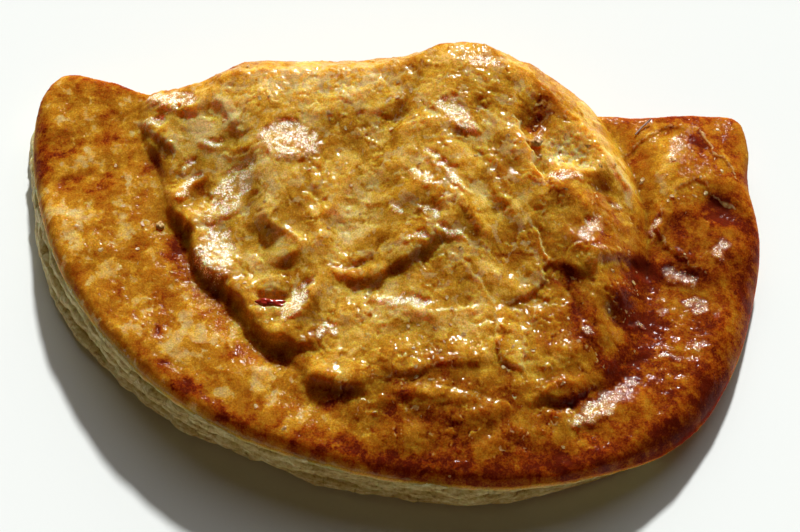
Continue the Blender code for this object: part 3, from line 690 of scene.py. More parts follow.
class Crust:
    """The crust's relief, and its browning with painted shade, over a set of places."""

    def __init__(self, xy):
        self.xy = xy
        self.u, self.v = ((xy - SHIFT) / HALF).T
        self.in_edge = depth_inside(xy, EDGE_LOOP)
        self.in_foot = depth_inside(xy, FOOT_LOOP)
        self.dome = smooth((self.in_foot / MM + 2) / 7)
        self.back = smooth((self.v - 0.62) / 0.3)
        self.form()
        self.colour()

    def form(self):
        xy, u, v = self.xy, self.u, self.v
        loose = warped(xy, 1.0, 6.0, 5)  # what was drawn smooth wanders a little
        rim = rim_top(u, v)
        crest, from_crest = crest_over(loose)
        front = smooth((-v - 0.05) / 0.4) * smooth((u + 0.45) / 0.3)
        up = np.maximum(self.in_foot, 0)
        up = up**2 / (up + FOOT_EASE)
        share = up / (up + 0.9 * np.maximum(from_crest - CREST_FLAT, 0) + FOOT_RISE)
        steepness = 0.75 - 0.25 * self.back + 0.45 * front
        z = rim + (crest - rim) * share ** steepness
        groove = np.exp(-(((self.in_foot / MM + GROOVE_AT) / GROOVE_WIDTH) ** 2))
        z -= RIM_SAG * groove * (1 - self.back)
        z += table(ridge, loose, RIDGES) + table(step, loose, STEPS) + table(mound, loose, MOUNDS)
        self.smooth_form = z.copy()
        z += table(crease, loose, CREASES)
        z += self.crumple()
        calm = 0.45 * patch(xy, "calm lobes") + 0.25 * patch(xy, "calm left")
        z += calm * (self.smooth_form - z)
        ragged = warped_twice(xy, 1.5, 4.0, 71, 0.6, 1.4, 73)
        self.shine = np.zeros(len(xy))
        for sizes in FACETS.values():
            self.shine = np.maximum(self.shine, press_facet(xy, ragged, z, *sizes))
        self.sheet_places = warped_twice(xy, 0.9, 3.0, 81, 0.35, 1.0, 83)
        z += table(step, self.sheet_places, SHEETS)
        z += self.terraces()
        z += self.grain()
        coarse = np.abs(noise(warped(xy, 0.8, 2.0, 151), 2.2, 153))
        crumbs = coarse + 0.5 * np.abs(noise(xy, 1.1, 155)) - 0.3
        z += 1.1 * MM * crumbs * patch(loose, "tear")
        radius = edge_radius(u, v, self.back)
        near_edge = 1 - np.clip(self.in_edge / radius, 0, 1)
        drop = radius * (1 - np.sqrt(1 - near_edge**2))
        self.z = z - drop
        self.smooth_form -= drop

    def crumple(self):
        """Bulges with sharp creases between them, large ones on the dome and slight ones on the rim."""
        xy, dome = self.xy, self.dome
        bent = warped(xy, 2.4, 9.0, 11)
        bulges = creased(bent, 10.0, 13)
        small = creased(warped(xy, 1.2, 4.0, 17), 4.2, 19)
        fine = creased(warped(xy, 0.6, 2.0, 23), 1.8, 29)
        off = (xy - placed(FAN_CENTRE)) / MM
        around, away = np.arctan2(off[:, 1], off[:, 0]), np.hypot(off[:, 0], off[:, 1])
        fan = np.stack([around * 34, away * 0.22], axis=1)
        wrinkles = creased(fan * MM + 0.4 * (bent - xy), 2.6, 31)
        lengthwise = noise(bent * (0.35, 1.0), 1.7, 37) * smooth((self.v - 0.45) / 0.2)
        rough = 0.95 * bulges * (0.25 + 0.75 * dome) + 0.17 * small * (0.4 + 0.6 * dome)
        rough += 0.04 * fine + 0.24 * wrinkles * dome * (1 - 0.6 * self.back) + 0.08 * lengthwise * dome
        for size, seed, height in CRINKLES:
            lines = noise(warped_twice(xy, 1.6, 4.0, seed, 0.5, 1.5, seed + 1), size, seed + 2)
            folded = smooth(fractal(xy, 6.0, seed + 3) * 2.2 + 0.3) * (0.35 + 0.65 * dome)
            lip = np.tanh(lines / CRINKLE_WIDTH) * np.exp(-np.abs(lines) / 0.25) * 0.5
            rough += height * (lip - 0.6 * np.exp(-((lines / CRINKLE_WIDTH) ** 2))) * folded
        rim_waves = (0.5 * noise(xy, 9.0, 41) + 0.16 * noise(bent, 2.6, 42)) * (1 - dome)
        return (rough + rim_waves) * MM

    def terraces(self):
        """Thin sheets that end in ragged steps, like contour lines."""
        levels = LEVELS * fractal(self.xy, 9.0, 43, 5)
        part = levels - np.floor(levels)
        cover = smooth(fractal(self.xy, 5.0, 47) * 3 + 0.3)
        self.torn = np.exp(-(((part - TORN_AT) / TORN_WIDTH) ** 2)) * cover
        # painted shade: a dark band on the sheet just below each torn edge
        self.under = np.exp(-(((part - UNDER_AT) / UNDER_WIDTH) ** 2)) * cover
        tones = np.random.RandomState(45).rand(64) - 0.5
        self.tone = tones[np.floor(levels + 0.5).astype(int) % 64]
        sheets = smooth((part - 0.5) / 0.10 + 0.5) - part
        cover = (0.25 + 0.75 * self.dome) * smooth(fractal(self.xy, 7.0, 49) * 2.5 + 0.4)
        return SHEET_THICKNESS * MM * sheets * cover

    def grain(self):
        """The finest roughness that the mesh can hold."""
        pits = np.minimum(noise(self.xy, 0.9, 53), 0.15)
        return (0.07 * noise(self.xy, 1.3, 57) + 0.09 * pits) * MM

    def colour(self):
        self.loose = warped_twice(self.xy, 1.6, 5.0, 91, 0.6, 1.8, 93)
        self.brown()
        self.whiten()
        self.glaze()
        horns = smooth((np.abs(self.u + 0.05) - 0.5) / 0.2) * smooth((self.v - 0.2) / 0.4)
        self.thin = smooth(1 - self.in_edge / THIN_REACH) * np.maximum(horns, self.back)

    def brown(self):
        """Darker on the rim, at the right and the front; painted shade in hollows and creases, under torn
        sheets' edges, below the left cliff, in the front pit and along the sunlit back edge.
        """
        xy, u, v = self.xy, self.u, self.v
        bake_and_shade = 0.485 - 0.155 * self.dome + (0.11 + 0.09 * self.dome) * fractal(xy, 10.0, 95)
        bake_and_shade += 0.10 * fractal(self.loose, 2.4, 97, 4)
        bake_and_shade += 0.20 * smooth((u - 0.25) / 0.5) * smooth((0.45 - v) / 0.3)
        bake_and_shade += 0.08 * smooth((-v - 0.35) / 0.3) * self.dome
        for places in (BROWNING_AND_SHADE, PALE):
            for centre, along, across, turn, amount in places.values():
                bake_and_shade += amount * blob(self.loose, centre, along, across, turn, 2.2)
        for path, width, amount in STREAKS.values():
            bake_and_shade += ridge(self.loose, path, width, width, amount / MM)
        # painted shade: darker where the crust lies below its smooth form, in creases and hollows
        hollow = np.clip((self.smooth_form - self.z) / MM, -1.2, 1.4)
        bake_and_shade += 0.085 * hollow + 0.30 * self.tone + 0.20 * self.under * (0.3 + 0.7 * self.dome)
        clumps = smooth((curly(xy, 1.2, 3.0, 6.0, 131, 5) - 0.02) / 0.16)
        bake_and_shade -= 0.13 * (clumps - 0.35) * (1 - self.dome) * smooth((0.35 - u) / 0.5)
        # painted shade: darker along the back edge, which faces the sun, to tone down its sunlit brink
        bake_and_shade += 0.20 * np.exp(-((self.in_edge / MM / 2.0) ** 2)) * self.back
        self.bake_and_shade = np.clip(bake_and_shade, 0, 1.2)

    def whiten(self):
        """Bare, creamy dough where the glaze is torn: flakes, flecks, sheets' edges and the brink."""
        xy, u, v, loose = self.xy, self.u, self.v, self.loose
        flakes = smooth((curly(xy, 1.0, 2.4, 3.6, 135, 5) - 0.24) / 0.05) * self.dome
        flakes *= smooth((0.62 - u) / 0.3) * smooth((v + 0.5) / 0.3)
        flecks = 0.86 + 0.5 * curly(xy, 1.0, 2.4, 2.6, 161, 4)
        flecks *= (1 - self.dome) * smooth((0.30 - u) / 0.4) * smooth((0.62 - self.bake_and_shade) / 0.2)
        brink = np.exp(-((self.in_edge / MM / 0.5) ** 2))
        self.cream = np.clip(np.maximum.reduce([
            self.sheet_edges(),
            0.60 * flakes,
            0.66 * flecks,
            0.75 * self.torn * (0.3 + 0.7 * self.dome),
            0.55 * brink * smooth((0.35 - u) / 0.4),
            patch(loose, "tear") * smooth(fractal(xy, 1.8, 99, 4) * 2.6 + 0.62),
            0.34 * (patch(loose, "sandy horn") * smooth(fractal(xy, 1.8, 141, 4) * 2.2 + 0.45)),
            0.85 * (patch(loose, "crest") * smooth(fractal(xy, 1.6, 171, 4) * 2.2 + 0.6)),
            0.8 * patch(loose, "side fold"),
            0.6 * patch(loose, "horn's side"),
        ]), 0, 1)

    def sheet_edges(self):
        """Pale bands along the torn sheets, stronger where the sheet is thick."""
        edges = np.zeros(len(self.xy))
        for path, _, height, _ in SHEETS.values():
            def band(distance, side, along):
                line = np.exp(-(((distance * side / MM - 0.3) / 0.4) ** 2))
                return line * smooth(along * (1 - along) * 16) * min(1, 0.4 + 0.4 * height)

            edges = np.maximum(edges, beside(self.sheet_places, path, 4, band))
        return edges

    def glaze(self):
        """Glossy on the dome and the right, matt on cream and dark places; the shine is broken by holes."""
        xy, u, loose = self.xy, self.u, self.loose
        right = smooth((u - 0.35) / 0.3)
        gloss = 0.01 + 0.57 * self.dome + 0.10 * right - 0.35 * self.cream + 0.5 * self.shine
        holes = smooth((fractal(warped(xy, 0.8, 2.5, 105) * (1, 1.6), 2.4, 103, 4) + 0.30) / 0.24)
        self.shine *= (0.25 + 0.75 * holes) * (1 - 0.30 * smooth((u - 0.40) / 0.2))
        uneven = 0.45 * fractal(xy, 6.0, 101) * (0.4 + 0.6 * np.maximum(self.dome, right))
        gloss += uneven - 0.35 * patch(loose, "matt crest")
        gloss -= 0.5 * patch(loose, "matt horn") + 0.6 * patch(loose, "matt burst")
        self.gloss = np.clip(gloss, 0, 1) * (1 - 0.5 * smooth((self.bake_and_shade - 0.5) / 0.25))

    def looks(self):
        """What each place says of its looks, in the order of LOOKS."""
        return np.stack([self.bake_and_shade, self.cream, self.gloss, self.shine, self.thin], axis=1)


# ---------------------------------------------------------------- meshes

def even_loop(loop, spacing):
    """The loop again, with its points a whole number of equal steps apart."""
    ring = np.vstack([loop, loop[:1]])
    run = np.concatenate([[0], np.cumsum(np.linalg.norm(np.diff(ring, axis=0), axis=1))])
    at = np.linspace(0, run[-1], round(run[-1] / spacing), endpoint=False)
    return np.stack([np.interp(at, run, ring[:, axis]) for axis in (0, 1)], axis=1)


def outward(ring):
    """Unit vectors that point out of a ring that runs anticlockwise."""
    along = np.roll(ring, -1, axis=0) - np.roll(ring, 1, axis=0)
    return np.stack([along[:, 1], -along[:, 0]], axis=1) / np.linalg.norm(along, axis=1)[:, None]


def moved_out(ring, distance):
    """The ring moved outward, in small steps that are smoothed so that its corners never cross."""
    for _ in range(OFFSET_STEPS):
        ring = ring + outward(ring) * distance[:, None] / OFFSET_STEPS
        ring = 0.25 * np.roll(ring, 1, axis=0) + 0.5 * ring + 0.25 * np.roll(ring, -1, axis=0)
    return ring


def finer(ring):
    """The ring with EDGE_PARTS points for each one."""
    return spline(ring, True, EDGE_PARTS)


EDGE = even_loop(EDGE_LOOP, EDGE_STEP)
EDGE_U, EDGE_V = ((EDGE - SHIFT) / HALF).T

# Where the edge is a plain fold without leaves: along the back and round the right horn
FOLDED = smooth((outward(EDGE)[:, 1] - 0.1) / 0.5) * smooth((EDGE_V - 0.5) / 0.2)
FOLDED = 1 - (1 - FOLDED) * (1 - smooth((EDGE_U - 0.62) / 0.2))
FOLDED_FINE = finer(np.stack([FOLDED, FOLDED], axis=1))[:, 0]


def crust_net():
    """The places of the crust's top, its triangles, and which places are the edge's."""
    edge = finer(EDGE)
    columns = np.arange(-HALF[0] * 1.05, HALF[0] * 1.05, NET)
    rows = np.arange(-HALF[1] * 1.05, HALF[1] * 1.05, NET * math.sqrt(3) / 2)
    net = np.array([(x + NET / 2 * (j % 2), y) for j, y in enumerate(rows) for x in columns])
    net = net[depth_inside(net, edge) > 0.6 * NET]
    count = len(edge)
    around = [(i, (i + 1) % count) for i in range(count)]
    flat = [Vector(p) for p in np.vstack([edge, net]).tolist()]
    points, _, faces, sources, _, _ = delaunay_2d_cdt(flat, around, [], 1, 1e-9)
    place = {source: i for i, found in enumerate(sources) for source in found}
    return np.array([tuple(p) for p in points]), faces, [place[i] for i in range(count)]


def write_attribute(mesh, name, values):
    attribute = mesh.attributes.new(name, "FLOAT", "POINT")
    attribute.data.foreach_set("value", np.asarray(values, np.float32))


def linked(name, data):
    """A new object in the scene."""
    made = bpy.data.objects.new(name, data)
    bpy.context.scene.collection.objects.link(made)
    return made


def mesh_of(name, bm):
    """A mesh made from the bmesh, with its faces turned outwards."""
    bmesh.ops.recalc_face_normals(bm, faces=bm.faces)
    mesh = bpy.data.meshes.new(name)
    bm.to_mesh(mesh)
    bm.free()
    return mesh


def new_piece(name, mesh, *materials):
    for material in materials:
        mesh.materials.append(material)
    mesh.shade_smooth()
    return linked(name, mesh)


def crust(*materials):
    """The top, the wall below its edge with the groove that the leaves fill, and the base."""
    xy, faces, ring = crust_net()
    top = Crust(xy)
    looks = [top.looks()]
    bm = bmesh.new()
    verts = [bm.verts.new((x, y, z)) for (x, y), z in zip(xy, top.z)]
    for face in faces:
        bm.faces.new([verts[i] for i in face])
    ring = [verts[i] for i in ring]
    tops = np.array([v.co.z for v in ring])
    for down in np.linspace(0, 1, WALL_ROWS + 1)[1:]:
        sealed = np.interp(down, WALL_DOWN, WALL_SEALED)
        fold = np.interp(down, WALL_DOWN, WALL_FOLD)
        flat = finer(moved_out(EDGE, ((1 - FOLDED) * sealed + FOLDED * fold) * MM))
        wobble = WALL_WOBBLE * noise(flat, 4.0, int(300 + 10 * down))
        flat = flat + outward(flat) * wobble[:, None] * MM * min(1, 6 * down * (1 - down))
        dough = (FOLDED_FINE < 0.5) & (down > GLAZED_DOWN)
        heights = tops + (BASE_LIFT - tops) * down
        ring = skirt(bm, ring, flat, heights, np.where(dough, WALL, TOP))
        looks.append(wall_looks(flat, down))
    foot = finer(moved_out(EDGE, -BASE_INSET - FOLD_INSET * FOLDED))
    ring = skirt(bm, ring, foot, np.zeros(len(foot)), np.full(len(foot), BASE))
    looks.append(np.tile(BASE_LOOKS, (len(foot), 1)))
    for face in bmesh.ops.triangulate(bm, faces=[bm.faces.new(ring)])["faces"]:
        face.material_index = BASE
    mesh = mesh_of("crust", bm)
    for name, values in zip(LOOKS, np.vstack(looks).T):
        write_attribute(mesh, name, values)
    return new_piece("crust", mesh, *materials)


def wall_looks(flat, down):
    """The wall's looks at a share of the way down: golden at the fold, pale under the sealed edge."""
    right = smooth((flat[:, 0] / HALF[0] - 0.35) / 0.3)
    bake_and_shade = 0.42 + 0.1 * fractal(flat, 7.0, 111) + 0.25 * right - 0.1 * down
    # painted shade: darker near the top of the fold's wall, which faces the sun
    bake_and_shade += 0.18 * FOLDED_FINE * (1 - down) ** 2
    bake_and_shade += FOLDED_FINE * (0.12 * fractal(flat + down * 9 * MM, 3.0, 121, 4) + 0.06)
    cream = (1 - FOLDED_FINE) * smooth(down / 0.12) * (0.9 - 0.5 * right)
    gloss = 0.35 * (1 - down) * np.ones(len(flat))
    return np.stack([bake_and_shade, np.clip(cream, 0, 1), gloss, np.zeros(len(flat)), FOLDED_FINE], axis=1)


def skirt(bm, ring, flat, heights, materials):
    """Adds a ring of vertices below the given one, joined to it by quads of the given materials."""
    lower = [bm.verts.new((x, y, z)) for (x, y), z in zip(flat, heights)]
    for i in range(len(ring)):
        j = (i + 1) % len(ring)
        face = bm.faces.new((ring[i], ring[j], lower[j], lower[i]))
        face.material_index = int(materials[i])
    return lower


# ---------------------------------------------------------------- node trees

class Nodes:
    """Short calls that add nodes to a tree and link them."""

    def add(self, kind, inputs=(), **settings):
        """A node with its settings and its inputs, given by name or number as links or values."""
        node = self.tree.nodes.new(kind)
        for name, value in settings.items():
            setattr(node, name, value)
        for key, value in dict(inputs).items():
            self.put(node, key, value)
        return node

    def first(self, kind, inputs=(), **settings):
        """The first output of such a node."""
        return self.add(kind, inputs, **settings).outputs[0]

    def put(self, node, key, value):
        if isinstance(value, bpy.types.NodeSocket):
            self.tree.links.new(value, node.inputs[key])
        else:
            node.inputs[key].default_value = value

    def math(self, operation, a, b=0.0, c=0.0, clamp=False):
        return self.first("ShaderNodeMath", {0: a, 1: b, 2: c}, operation=operation, use_clamp=clamp)

    def vector(self, operation, a, b=(0, 0, 0)):
        return self.first("ShaderNodeVectorMath", {0: a, 1: b}, operation=operation)

    def centred(self, value, amount):
        """Noise about 0.5 made noise about 0, times the amount."""
        return self.math("MULTIPLY", self.math("SUBTRACT", value, 0.5), amount)


# ---------------------------------------------------------------- geometry nodes

class Tree(Nodes):
    """A geometry node tree with named inputs."""

    def __init__(self, name):
        self.tree = bpy.data.node_groups.new(name, "GeometryNodeTree")
        self.tree.interface.new_socket("Geometry", in_out="OUTPUT", socket_type="NodeSocketGeometry")
        self.names = {}
        self.input = self.tree.nodes.new("NodeGroupInput")

    def socket(self, name, kind, value=None):
        """A named input of the tree, and where its value is read."""
        made = self.tree.interface.new_socket(name, in_out="INPUT", socket_type=kind)
        if value is not None:
            made.default_value = value
        self.names[name] = made.identifier
        return self.input.outputs[name]

    def scaled(self, vector, by):
        return self.first("ShaderNodeVectorMath", {0: vector, "Scale": by}, operation="SCALE")

    def attribute(self, name):
        return self.first("GeometryNodeInputNamedAttribute", {"Name": name}, data_type="FLOAT")

    def noise(self, place, w, scale, detail=2.0):
        return self.first("ShaderNodeTexNoise",
                          {"Vector": place, "W": w, "Scale": scale, "Detail": detail},
                          noise_dimensions="4D")

    def between(self, share, a, b):
        return self.first("ShaderNodeMix", {0: share, 2: a, 3: b}, data_type="FLOAT")

    def stored(self, geometry, name, value):
        """The curves with a value of their own."""
        return self.first("GeometryNodeStoreNamedAttribute",
                          {"Geometry": geometry, "Name": name, "Value": value},
                          data_type="FLOAT", domain="CURVE")

    def moved(self, geometry, offset):
        return self.first("GeometryNodeSetPosition", {"Geometry": geometry, "Offset": offset})

    def finish(self, geometry, material):
        """Makes the geometry a real mesh of one material, the tree's output."""
        mesh = self.first("GeometryNodeRealizeInstances", {"Geometry": geometry})
        mesh = self.first("GeometryNodeSetMaterial", {"Geometry": mesh, "Material": material})
        self.tree.links.new(mesh, self.add("NodeGroupOutput").inputs[0])


def grown(name, mesh, tree, values):
    """The plain mesh that the tree makes from the given one, as a piece."""
    seedling = linked(name + "_seedling", mesh)
    modifier = seedling.modifiers.new("nodes", "NODES")
    modifier.node_group = tree.tree
    for key, value in values.items():
        modifier[tree.names[key]] = value
    bpy.context.view_layer.update()
    shape = seedling.evaluated_get(bpy.context.evaluated_depsgraph_get())
    grown_mesh = bpy.data.meshes.new_from_object(shape)
    bpy.data.objects.remove(seedling)
    grown_mesh.name = name
    return linked(name, grown_mesh)


def leaf_tree(material):
    """Thin leaves of pastry, one above the other, that follow the cut edge and wave, part and meet."""
    t = Tree("edge leaves")
    line = t.socket("Geometry", "NodeSocketGeometry")
    count = t.socket("Leaves", "NodeSocketInt", 9)
    width = t.socket("Half width", "NodeSocketFloat", 0.003)
    thick = t.socket("Half thickness", "NodeSocketFloat", 0.0004)
    wave = t.socket("Wave", "NodeSocketFloat", 0.0016)
    ragged = t.socket("Raggedness", "NodeSocketFloat", 0.0012)
    seed = t.socket("Seed", "NodeSocketFloat", 3.0)
    curve = t.first("GeometryNodeMeshToCurve", {0: line})
    copies = t.add("GeometryNodeDuplicateElements", {"Geometry": curve, "Amount": count}, domain="SPLINE")
    share = t.math("DIVIDE", copies.outputs["Duplicate Index"], t.math("SUBTRACT", count, 1.0))
    store = t.stored(copies.outputs["Geometry"], "level", share)
    store = t.stored(store, "leaf", t.math("MULTIPLY_ADD", share, 9.0, seed))
    place = t.first("GeometryNodeInputPosition")
    level, leaf = t.attribute("level"), t.attribute("leaf")
    tangent = t.first("GeometryNodeInputTangent")
    out = t.vector("NORMALIZE", t.vector("CROSS_PRODUCT", tangent, (0.0, 0.0, 1.0)))

    # The middle leaves wave most
    freedom = t.math("MULTIPLY", level, t.math("SUBTRACT", 1.0, level))
    rise = t.centred(t.noise(place, leaf, 75.0, 3.0), wave)
    rise = t.math("MULTIPLY", rise, t.math("MULTIPLY_ADD", freedom, 3.0, 0.35))
    height = t.between(level, t.attribute("top"), t.attribute("bottom"))
    outset = t.between(level, t.attribute("out_top"), t.attribute("out_bottom"))
    rag = t.centred(t.noise(place, t.math("ADD", leaf, 40.0), 130.0, 4.0), ragged)
    slow = t.centred(t.noise(place, t.math("ADD", leaf, 80.0), 40.0, 1.0), ragged)
    shift = t.scaled(out, t.math("ADD", outset, t.math("ADD", rag, slow)))
    lift = t.first("ShaderNodeCombineXYZ", {2: t.math("ADD", height, rise)})
    curve = t.moved(store, t.vector("ADD", shift, lift))
    curve = t.first("GeometryNodeSetCurveNormal", {0: curve}, mode="Z_UP")

    # An oval profile, swollen and thinned along the leaf
    swell = t.math("MULTIPLY_ADD", t.noise(place, t.math("ADD", leaf, 120.0), 70.0, 2.0), 1.9, 0.02)
    curve = t.first("GeometryNodeSetCurveRadius", {"Curve": curve, "Radius": swell})
    oval = t.first("GeometryNodeCurvePrimitiveCircle", {"Resolution": 10, "Radius": 1.0})
    size = t.first("ShaderNodeCombineXYZ", {0: width, 1: thick, 2: 1.0})
    oval = t.first("GeometryNodeTransform", {"Geometry": oval, "Scale": size})
    mesh = t.first("GeometryNodeCurveToMesh", {"Curve": curve, "Profile Curve": oval, "Fill Caps": True})
    rough = t.centred(t.noise(place, 0.0, 450.0, 2.0), 0.0011)
    mesh = t.moved(mesh, t.scaled(t.first("GeometryNodeInputNormal"), rough))
    t.finish(t.first("GeometryNodeSetShadeSmooth", {"Geometry": mesh}), material)
    return t


def edge_leaves(material):
    """The leaves of the sealed edge, from the back of one horn round the front to the other."""
    ring = finer(EDGE)
    heights = Crust(ring).z
    sealed = np.flatnonzero(FOLDED_FINE < 0.5)
    gap = np.flatnonzero(np.diff(sealed) > 1)
    order = np.concatenate([sealed[gap[0] + 1:], sealed[:gap[0] + 1]]) if len(gap) else sealed
    flat, tops = ring[order], heights[order]
    run = np.linspace(0, 1, len(order))
    ends = smooth(np.minimum(run, 1 - run) / 0.03)
    u, v = ((flat - SHIFT) / HALF).T
    tucked = smooth((u - 0.20) / 0.3)
    front = smooth((u + 0.75) / 0.5)
    spread = smooth((-u - 0.55) / 0.35) * smooth((0.7 - v) / 0.5)
    out_top = -LEAF_IN_TOP - 0.8 * tucked - LEAF_IN_ENDS * (1 - ends)
    out_bottom = -LEAF_IN_BOTTOM + 2.4 * spread - 1.6 * front - 3.0 * tucked - LEAF_IN_ENDS * (1 - ends)
    mesh = bpy.data.meshes.new("edge line")
    mesh.from_pydata([(x, y, 0.0) for x, y in flat], [(i, i + 1) for i in range(len(flat) - 1)], [])
    write_attribute(mesh, "top", tops - LEAF_TOP)
    write_attribute(mesh, "bottom", np.full(len(flat), LEAF_BOTTOM))
    write_attribute(mesh, "out_top", out_top * MM)
    write_attribute(mesh, "out_bottom", out_bottom * MM)
    return grown("edge_leaves", mesh, leaf_tree(material), LEAF_SIZES)


def flake_tree(material):
    """Small flat flakes strewn on a surface, most where its attribute says."""
    t = Tree("loose flakes")
    ground = t.socket("Geometry", "NodeSocketGeometry")
    density = t.socket("Density", "NodeSocketFloat", 9000.0)
    size = t.socket("Size", "NodeSocketFloat", 0.0012)
    thick = t.socket("Thickness", "NodeSocketFloat", 0.0002)
    seed = t.socket("Seed", "NodeSocketInt", 5)
    share = t.math("MULTIPLY", t.attribute("strewn"), density)
    spots = t.add("GeometryNodeDistributePointsOnFaces", {"Mesh": ground, "Density": share, "Seed": seed})

    # One flake: an eight-sided plate of unit size
    disc = t.first("GeometryNodeMeshCircle", {"Vertices": 8, "Radius": 1.0}, fill_type="TRIANGLE_FAN")
    solid = t.first("GeometryNodeExtrudeMesh", {"Mesh": disc, "Offset Scale": 0.25, "Individual": False})
    bottom = t.first("GeometryNodeFlipFaces", {0: disc})
    both = t.add("GeometryNodeJoinGeometry")
    t.tree.links.new(solid, both.inputs[0])
    t.tree.links.new(bottom, both.inputs[0])
    closed = t.first("GeometryNodeMergeByDistance", {"Geometry": both.outputs[0], "Distance": 0.001})

    turn = t.add("FunctionNodeRandomValue", {"Seed": t.math("ADD", seed, 1)}, data_type="FLOAT")
    turn.inputs[3].default_value = 2 * math.pi
    spin = t.first("ShaderNodeCombineXYZ", {2: turn.outputs[1]})
    spin = t.first("FunctionNodeEulerToRotation", {0: spin})
    tilt = t.first("FunctionNodeRotateRotation", {"Rotation": spots.outputs["Rotation"], "Rotate By": spin},
                   rotation_space="LOCAL")
    grow = t.add("FunctionNodeRandomValue", {"Seed": t.math("ADD", seed, 2)}, data_type="FLOAT_VECTOR")
    grow.inputs[0].default_value = (0.3, 0.25, 0.5)
    grow.inputs[1].default_value = (1.0, 0.7, 1.0)
    full = t.first("ShaderNodeCombineXYZ", {0: size, 1: size, 2: thick})
    scale = t.vector("MULTIPLY", grow.outputs[0], full)
    flakes = t.first("GeometryNodeInstanceOnPoints", {"Points": spots.outputs["Points"], "Instance": closed,
                                                      "Rotation": tilt, "Scale": scale})
    mesh = t.first("GeometryNodeRealizeInstances", {"Geometry": flakes})
    place = t.first("GeometryNodeInputPosition")
    jitter = t.add("ShaderNodeTexNoise", {"Vector": place, "Scale": 900.0, "Detail": 1.0}).outputs["Color"]
    bend = t.scaled(t.vector("SUBTRACT", jitter, (0.5, 0.5, 0.5)), 0.0011)
    t.finish(t.moved(mesh, bend), material)
    return t


def loose_flakes(material, crust_piece):
    """Flakes over the crust, most by the tears, the crest and the front."""
    ground = crust_piece.data.copy()
    places = np.array([v.co[:] for v in ground.vertices])
    xy = places[:, :2]
    strewn = STREWN_ALL + sum(amount * blob(xy, *place) for amount, place in STREWN)
    write_attribute(ground, "strewn", strewn * smooth((places[:, 2] / MM - 12) / 3))
    ground.materials.clear()
    return grown("loose_flakes", ground, flake_tree(material), FLAKE_SIZES)


# ---------------------------------------------------------------- single small pieces

def lumps(name, material, places, height_at, seed):
    """Small solid lumps, as FILLING and CRUMBS list them."""
    bm = bmesh.new()
    for centre, sizes, turn, sink in places:
        before = len(bm.verts)
        bmesh.ops.create_icosphere(bm, subdivisions=4, radius=1.0)
        bm.verts.ensure_lookup_table()
        fresh = bm.verts[before:]
        c, s = math.cos(math.radians(turn)), math.sin(math.radians(turn))
        middle = placed(centre)
        base = height_at(np.array([middle]))[0] + sink * MM
        for vert in fresh:
            x, y, z = vert.co
            bump = 1 + 0.16 * math.sin(5 * x + seed) * math.sin(4 * y + 2) + 0.1 * math.sin(9 * z + 7 * x)
            x, y, z = (value * size * bump * MM for value, size in zip((x, y, z), sizes))
            vert.co = (middle[0] + x * c - y * s, middle[1] + x * s + y * c, base + z)
    return new_piece(name, mesh_of(name, bm), material)


def shred(material, height_at):
    """A dark, thin shred of pastry that sticks out behind the right horn."""
    curve = bpy.data.curves.new("shred", "CURVE")
    curve.dimensions = "3D"
    curve.bevel_depth = SHRED_RADIUS
    curve.bevel_resolution = 2
    curve.use_fill_caps = True
    line = curve.splines.new("POLY")
    points = []
    for share, lift in SHRED:
        x, y = placed(share)
        points.append((x, y, float(height_at(np.array([[x, y]]))[0]) + lift * MM, 1))
    line.points.add(len(points) - 1)
    for point, co in zip(line.points, points):
        point.co = co
    holder = linked("shred_line", curve)
    mesh = bpy.data.meshes.new_from_object(holder.evaluated_get(bpy.context.evaluated_depsgraph_get()))
    bpy.data.objects.remove(holder)
    mesh.materials.clear()
    return new_piece("shred", mesh, material)


# ---------------------------------------------------------------- materials

class Finish(Nodes):
    """A procedural material: a principled shader and short calls that add nodes before it."""

    def __init__(self, name):
        self.material = bpy.data.materials.new(name)
        self.material.use_nodes = True
        self.tree = self.material.node_tree
        self.shader = self.tree.nodes["Principled BSDF"]
        self.place = self.add("ShaderNodeTexCoord").outputs["Object"]

    def set(self, **values):
        """Values or links on the shader's own sockets, with _ for the spaces of their names."""
        for name, value in values.items():
            self.put(self.shader, name.replace("_", " "), value)

    def noise(self, scale, detail=3.0, roughness=0.55, distortion=0.0):
        return self.first("ShaderNodeTexNoise", {
            "Vector": self.place, "Scale": scale, "Detail": detail, "Roughness": roughness,
            "Distortion": distortion})

    def attribute(self, name):
        return self.add("ShaderNodeAttribute", attribute_name=name).outputs["Fac"]

    def mix(self, share, a, b, blend="MIX"):
        node = self.add("ShaderNodeMix", {0: share, 6: a, 7: b}, data_type="RGBA", blend_type=blend)
        return node.outputs[2]

    def ramp(self, value, stops):
        node = self.add("ShaderNodeValToRGB", {0: value})
        elements = node.color_ramp.elements
        while len(elements) < len(stops):
            elements.new(0.5)
        for element, (at, colour) in zip(elements, stops):
            element.position = at
            element.color = (*colour, 1)
        return node.outputs["Color"]

    def bump(self, heights, socket="Normal"):
        """Relief finer than the mesh: pairs of height and distance in mm."""
        normal = None
        for height, distance in heights:
            inputs = {"Height": height, "Distance": distance * MM, "Strength": 1.0}
            if normal:
                inputs["Normal"] = normal
            normal = self.add("ShaderNodeBump", inputs).outputs[0]
        self.tree.links.new(normal, self.shader.inputs[socket])


# The crust's colour by its browning and painted shade, from raw to burnt
BAKES = [
    (0.00, (0.700, 0.490, 0.190)),
    (0.22, (0.620, 0.375, 0.062)),
    (0.42, (0.500, 0.250, 0.016)),
    (0.58, (0.365, 0.150, 0.007)),
    (0.74, (0.305, 0.090, 0.003)),
    (0.88, (0.215, 0.032, 0.001)),
    (1.00, (0.110, 0.009, 0.001)),
]
CREAM = (0.560, 0.430, 0.190, 1)
TOASTED_CREAM = (0.42, 0.27, 0.09, 1)
# the pale colour painted in as sheen and glints where the facets shine
PAINTED_SHEEN = (0.980, 0.820, 0.620, 1)
FLESH = (1.0, 0.20, 0.05)  # how far red, green and blue light spread in dough


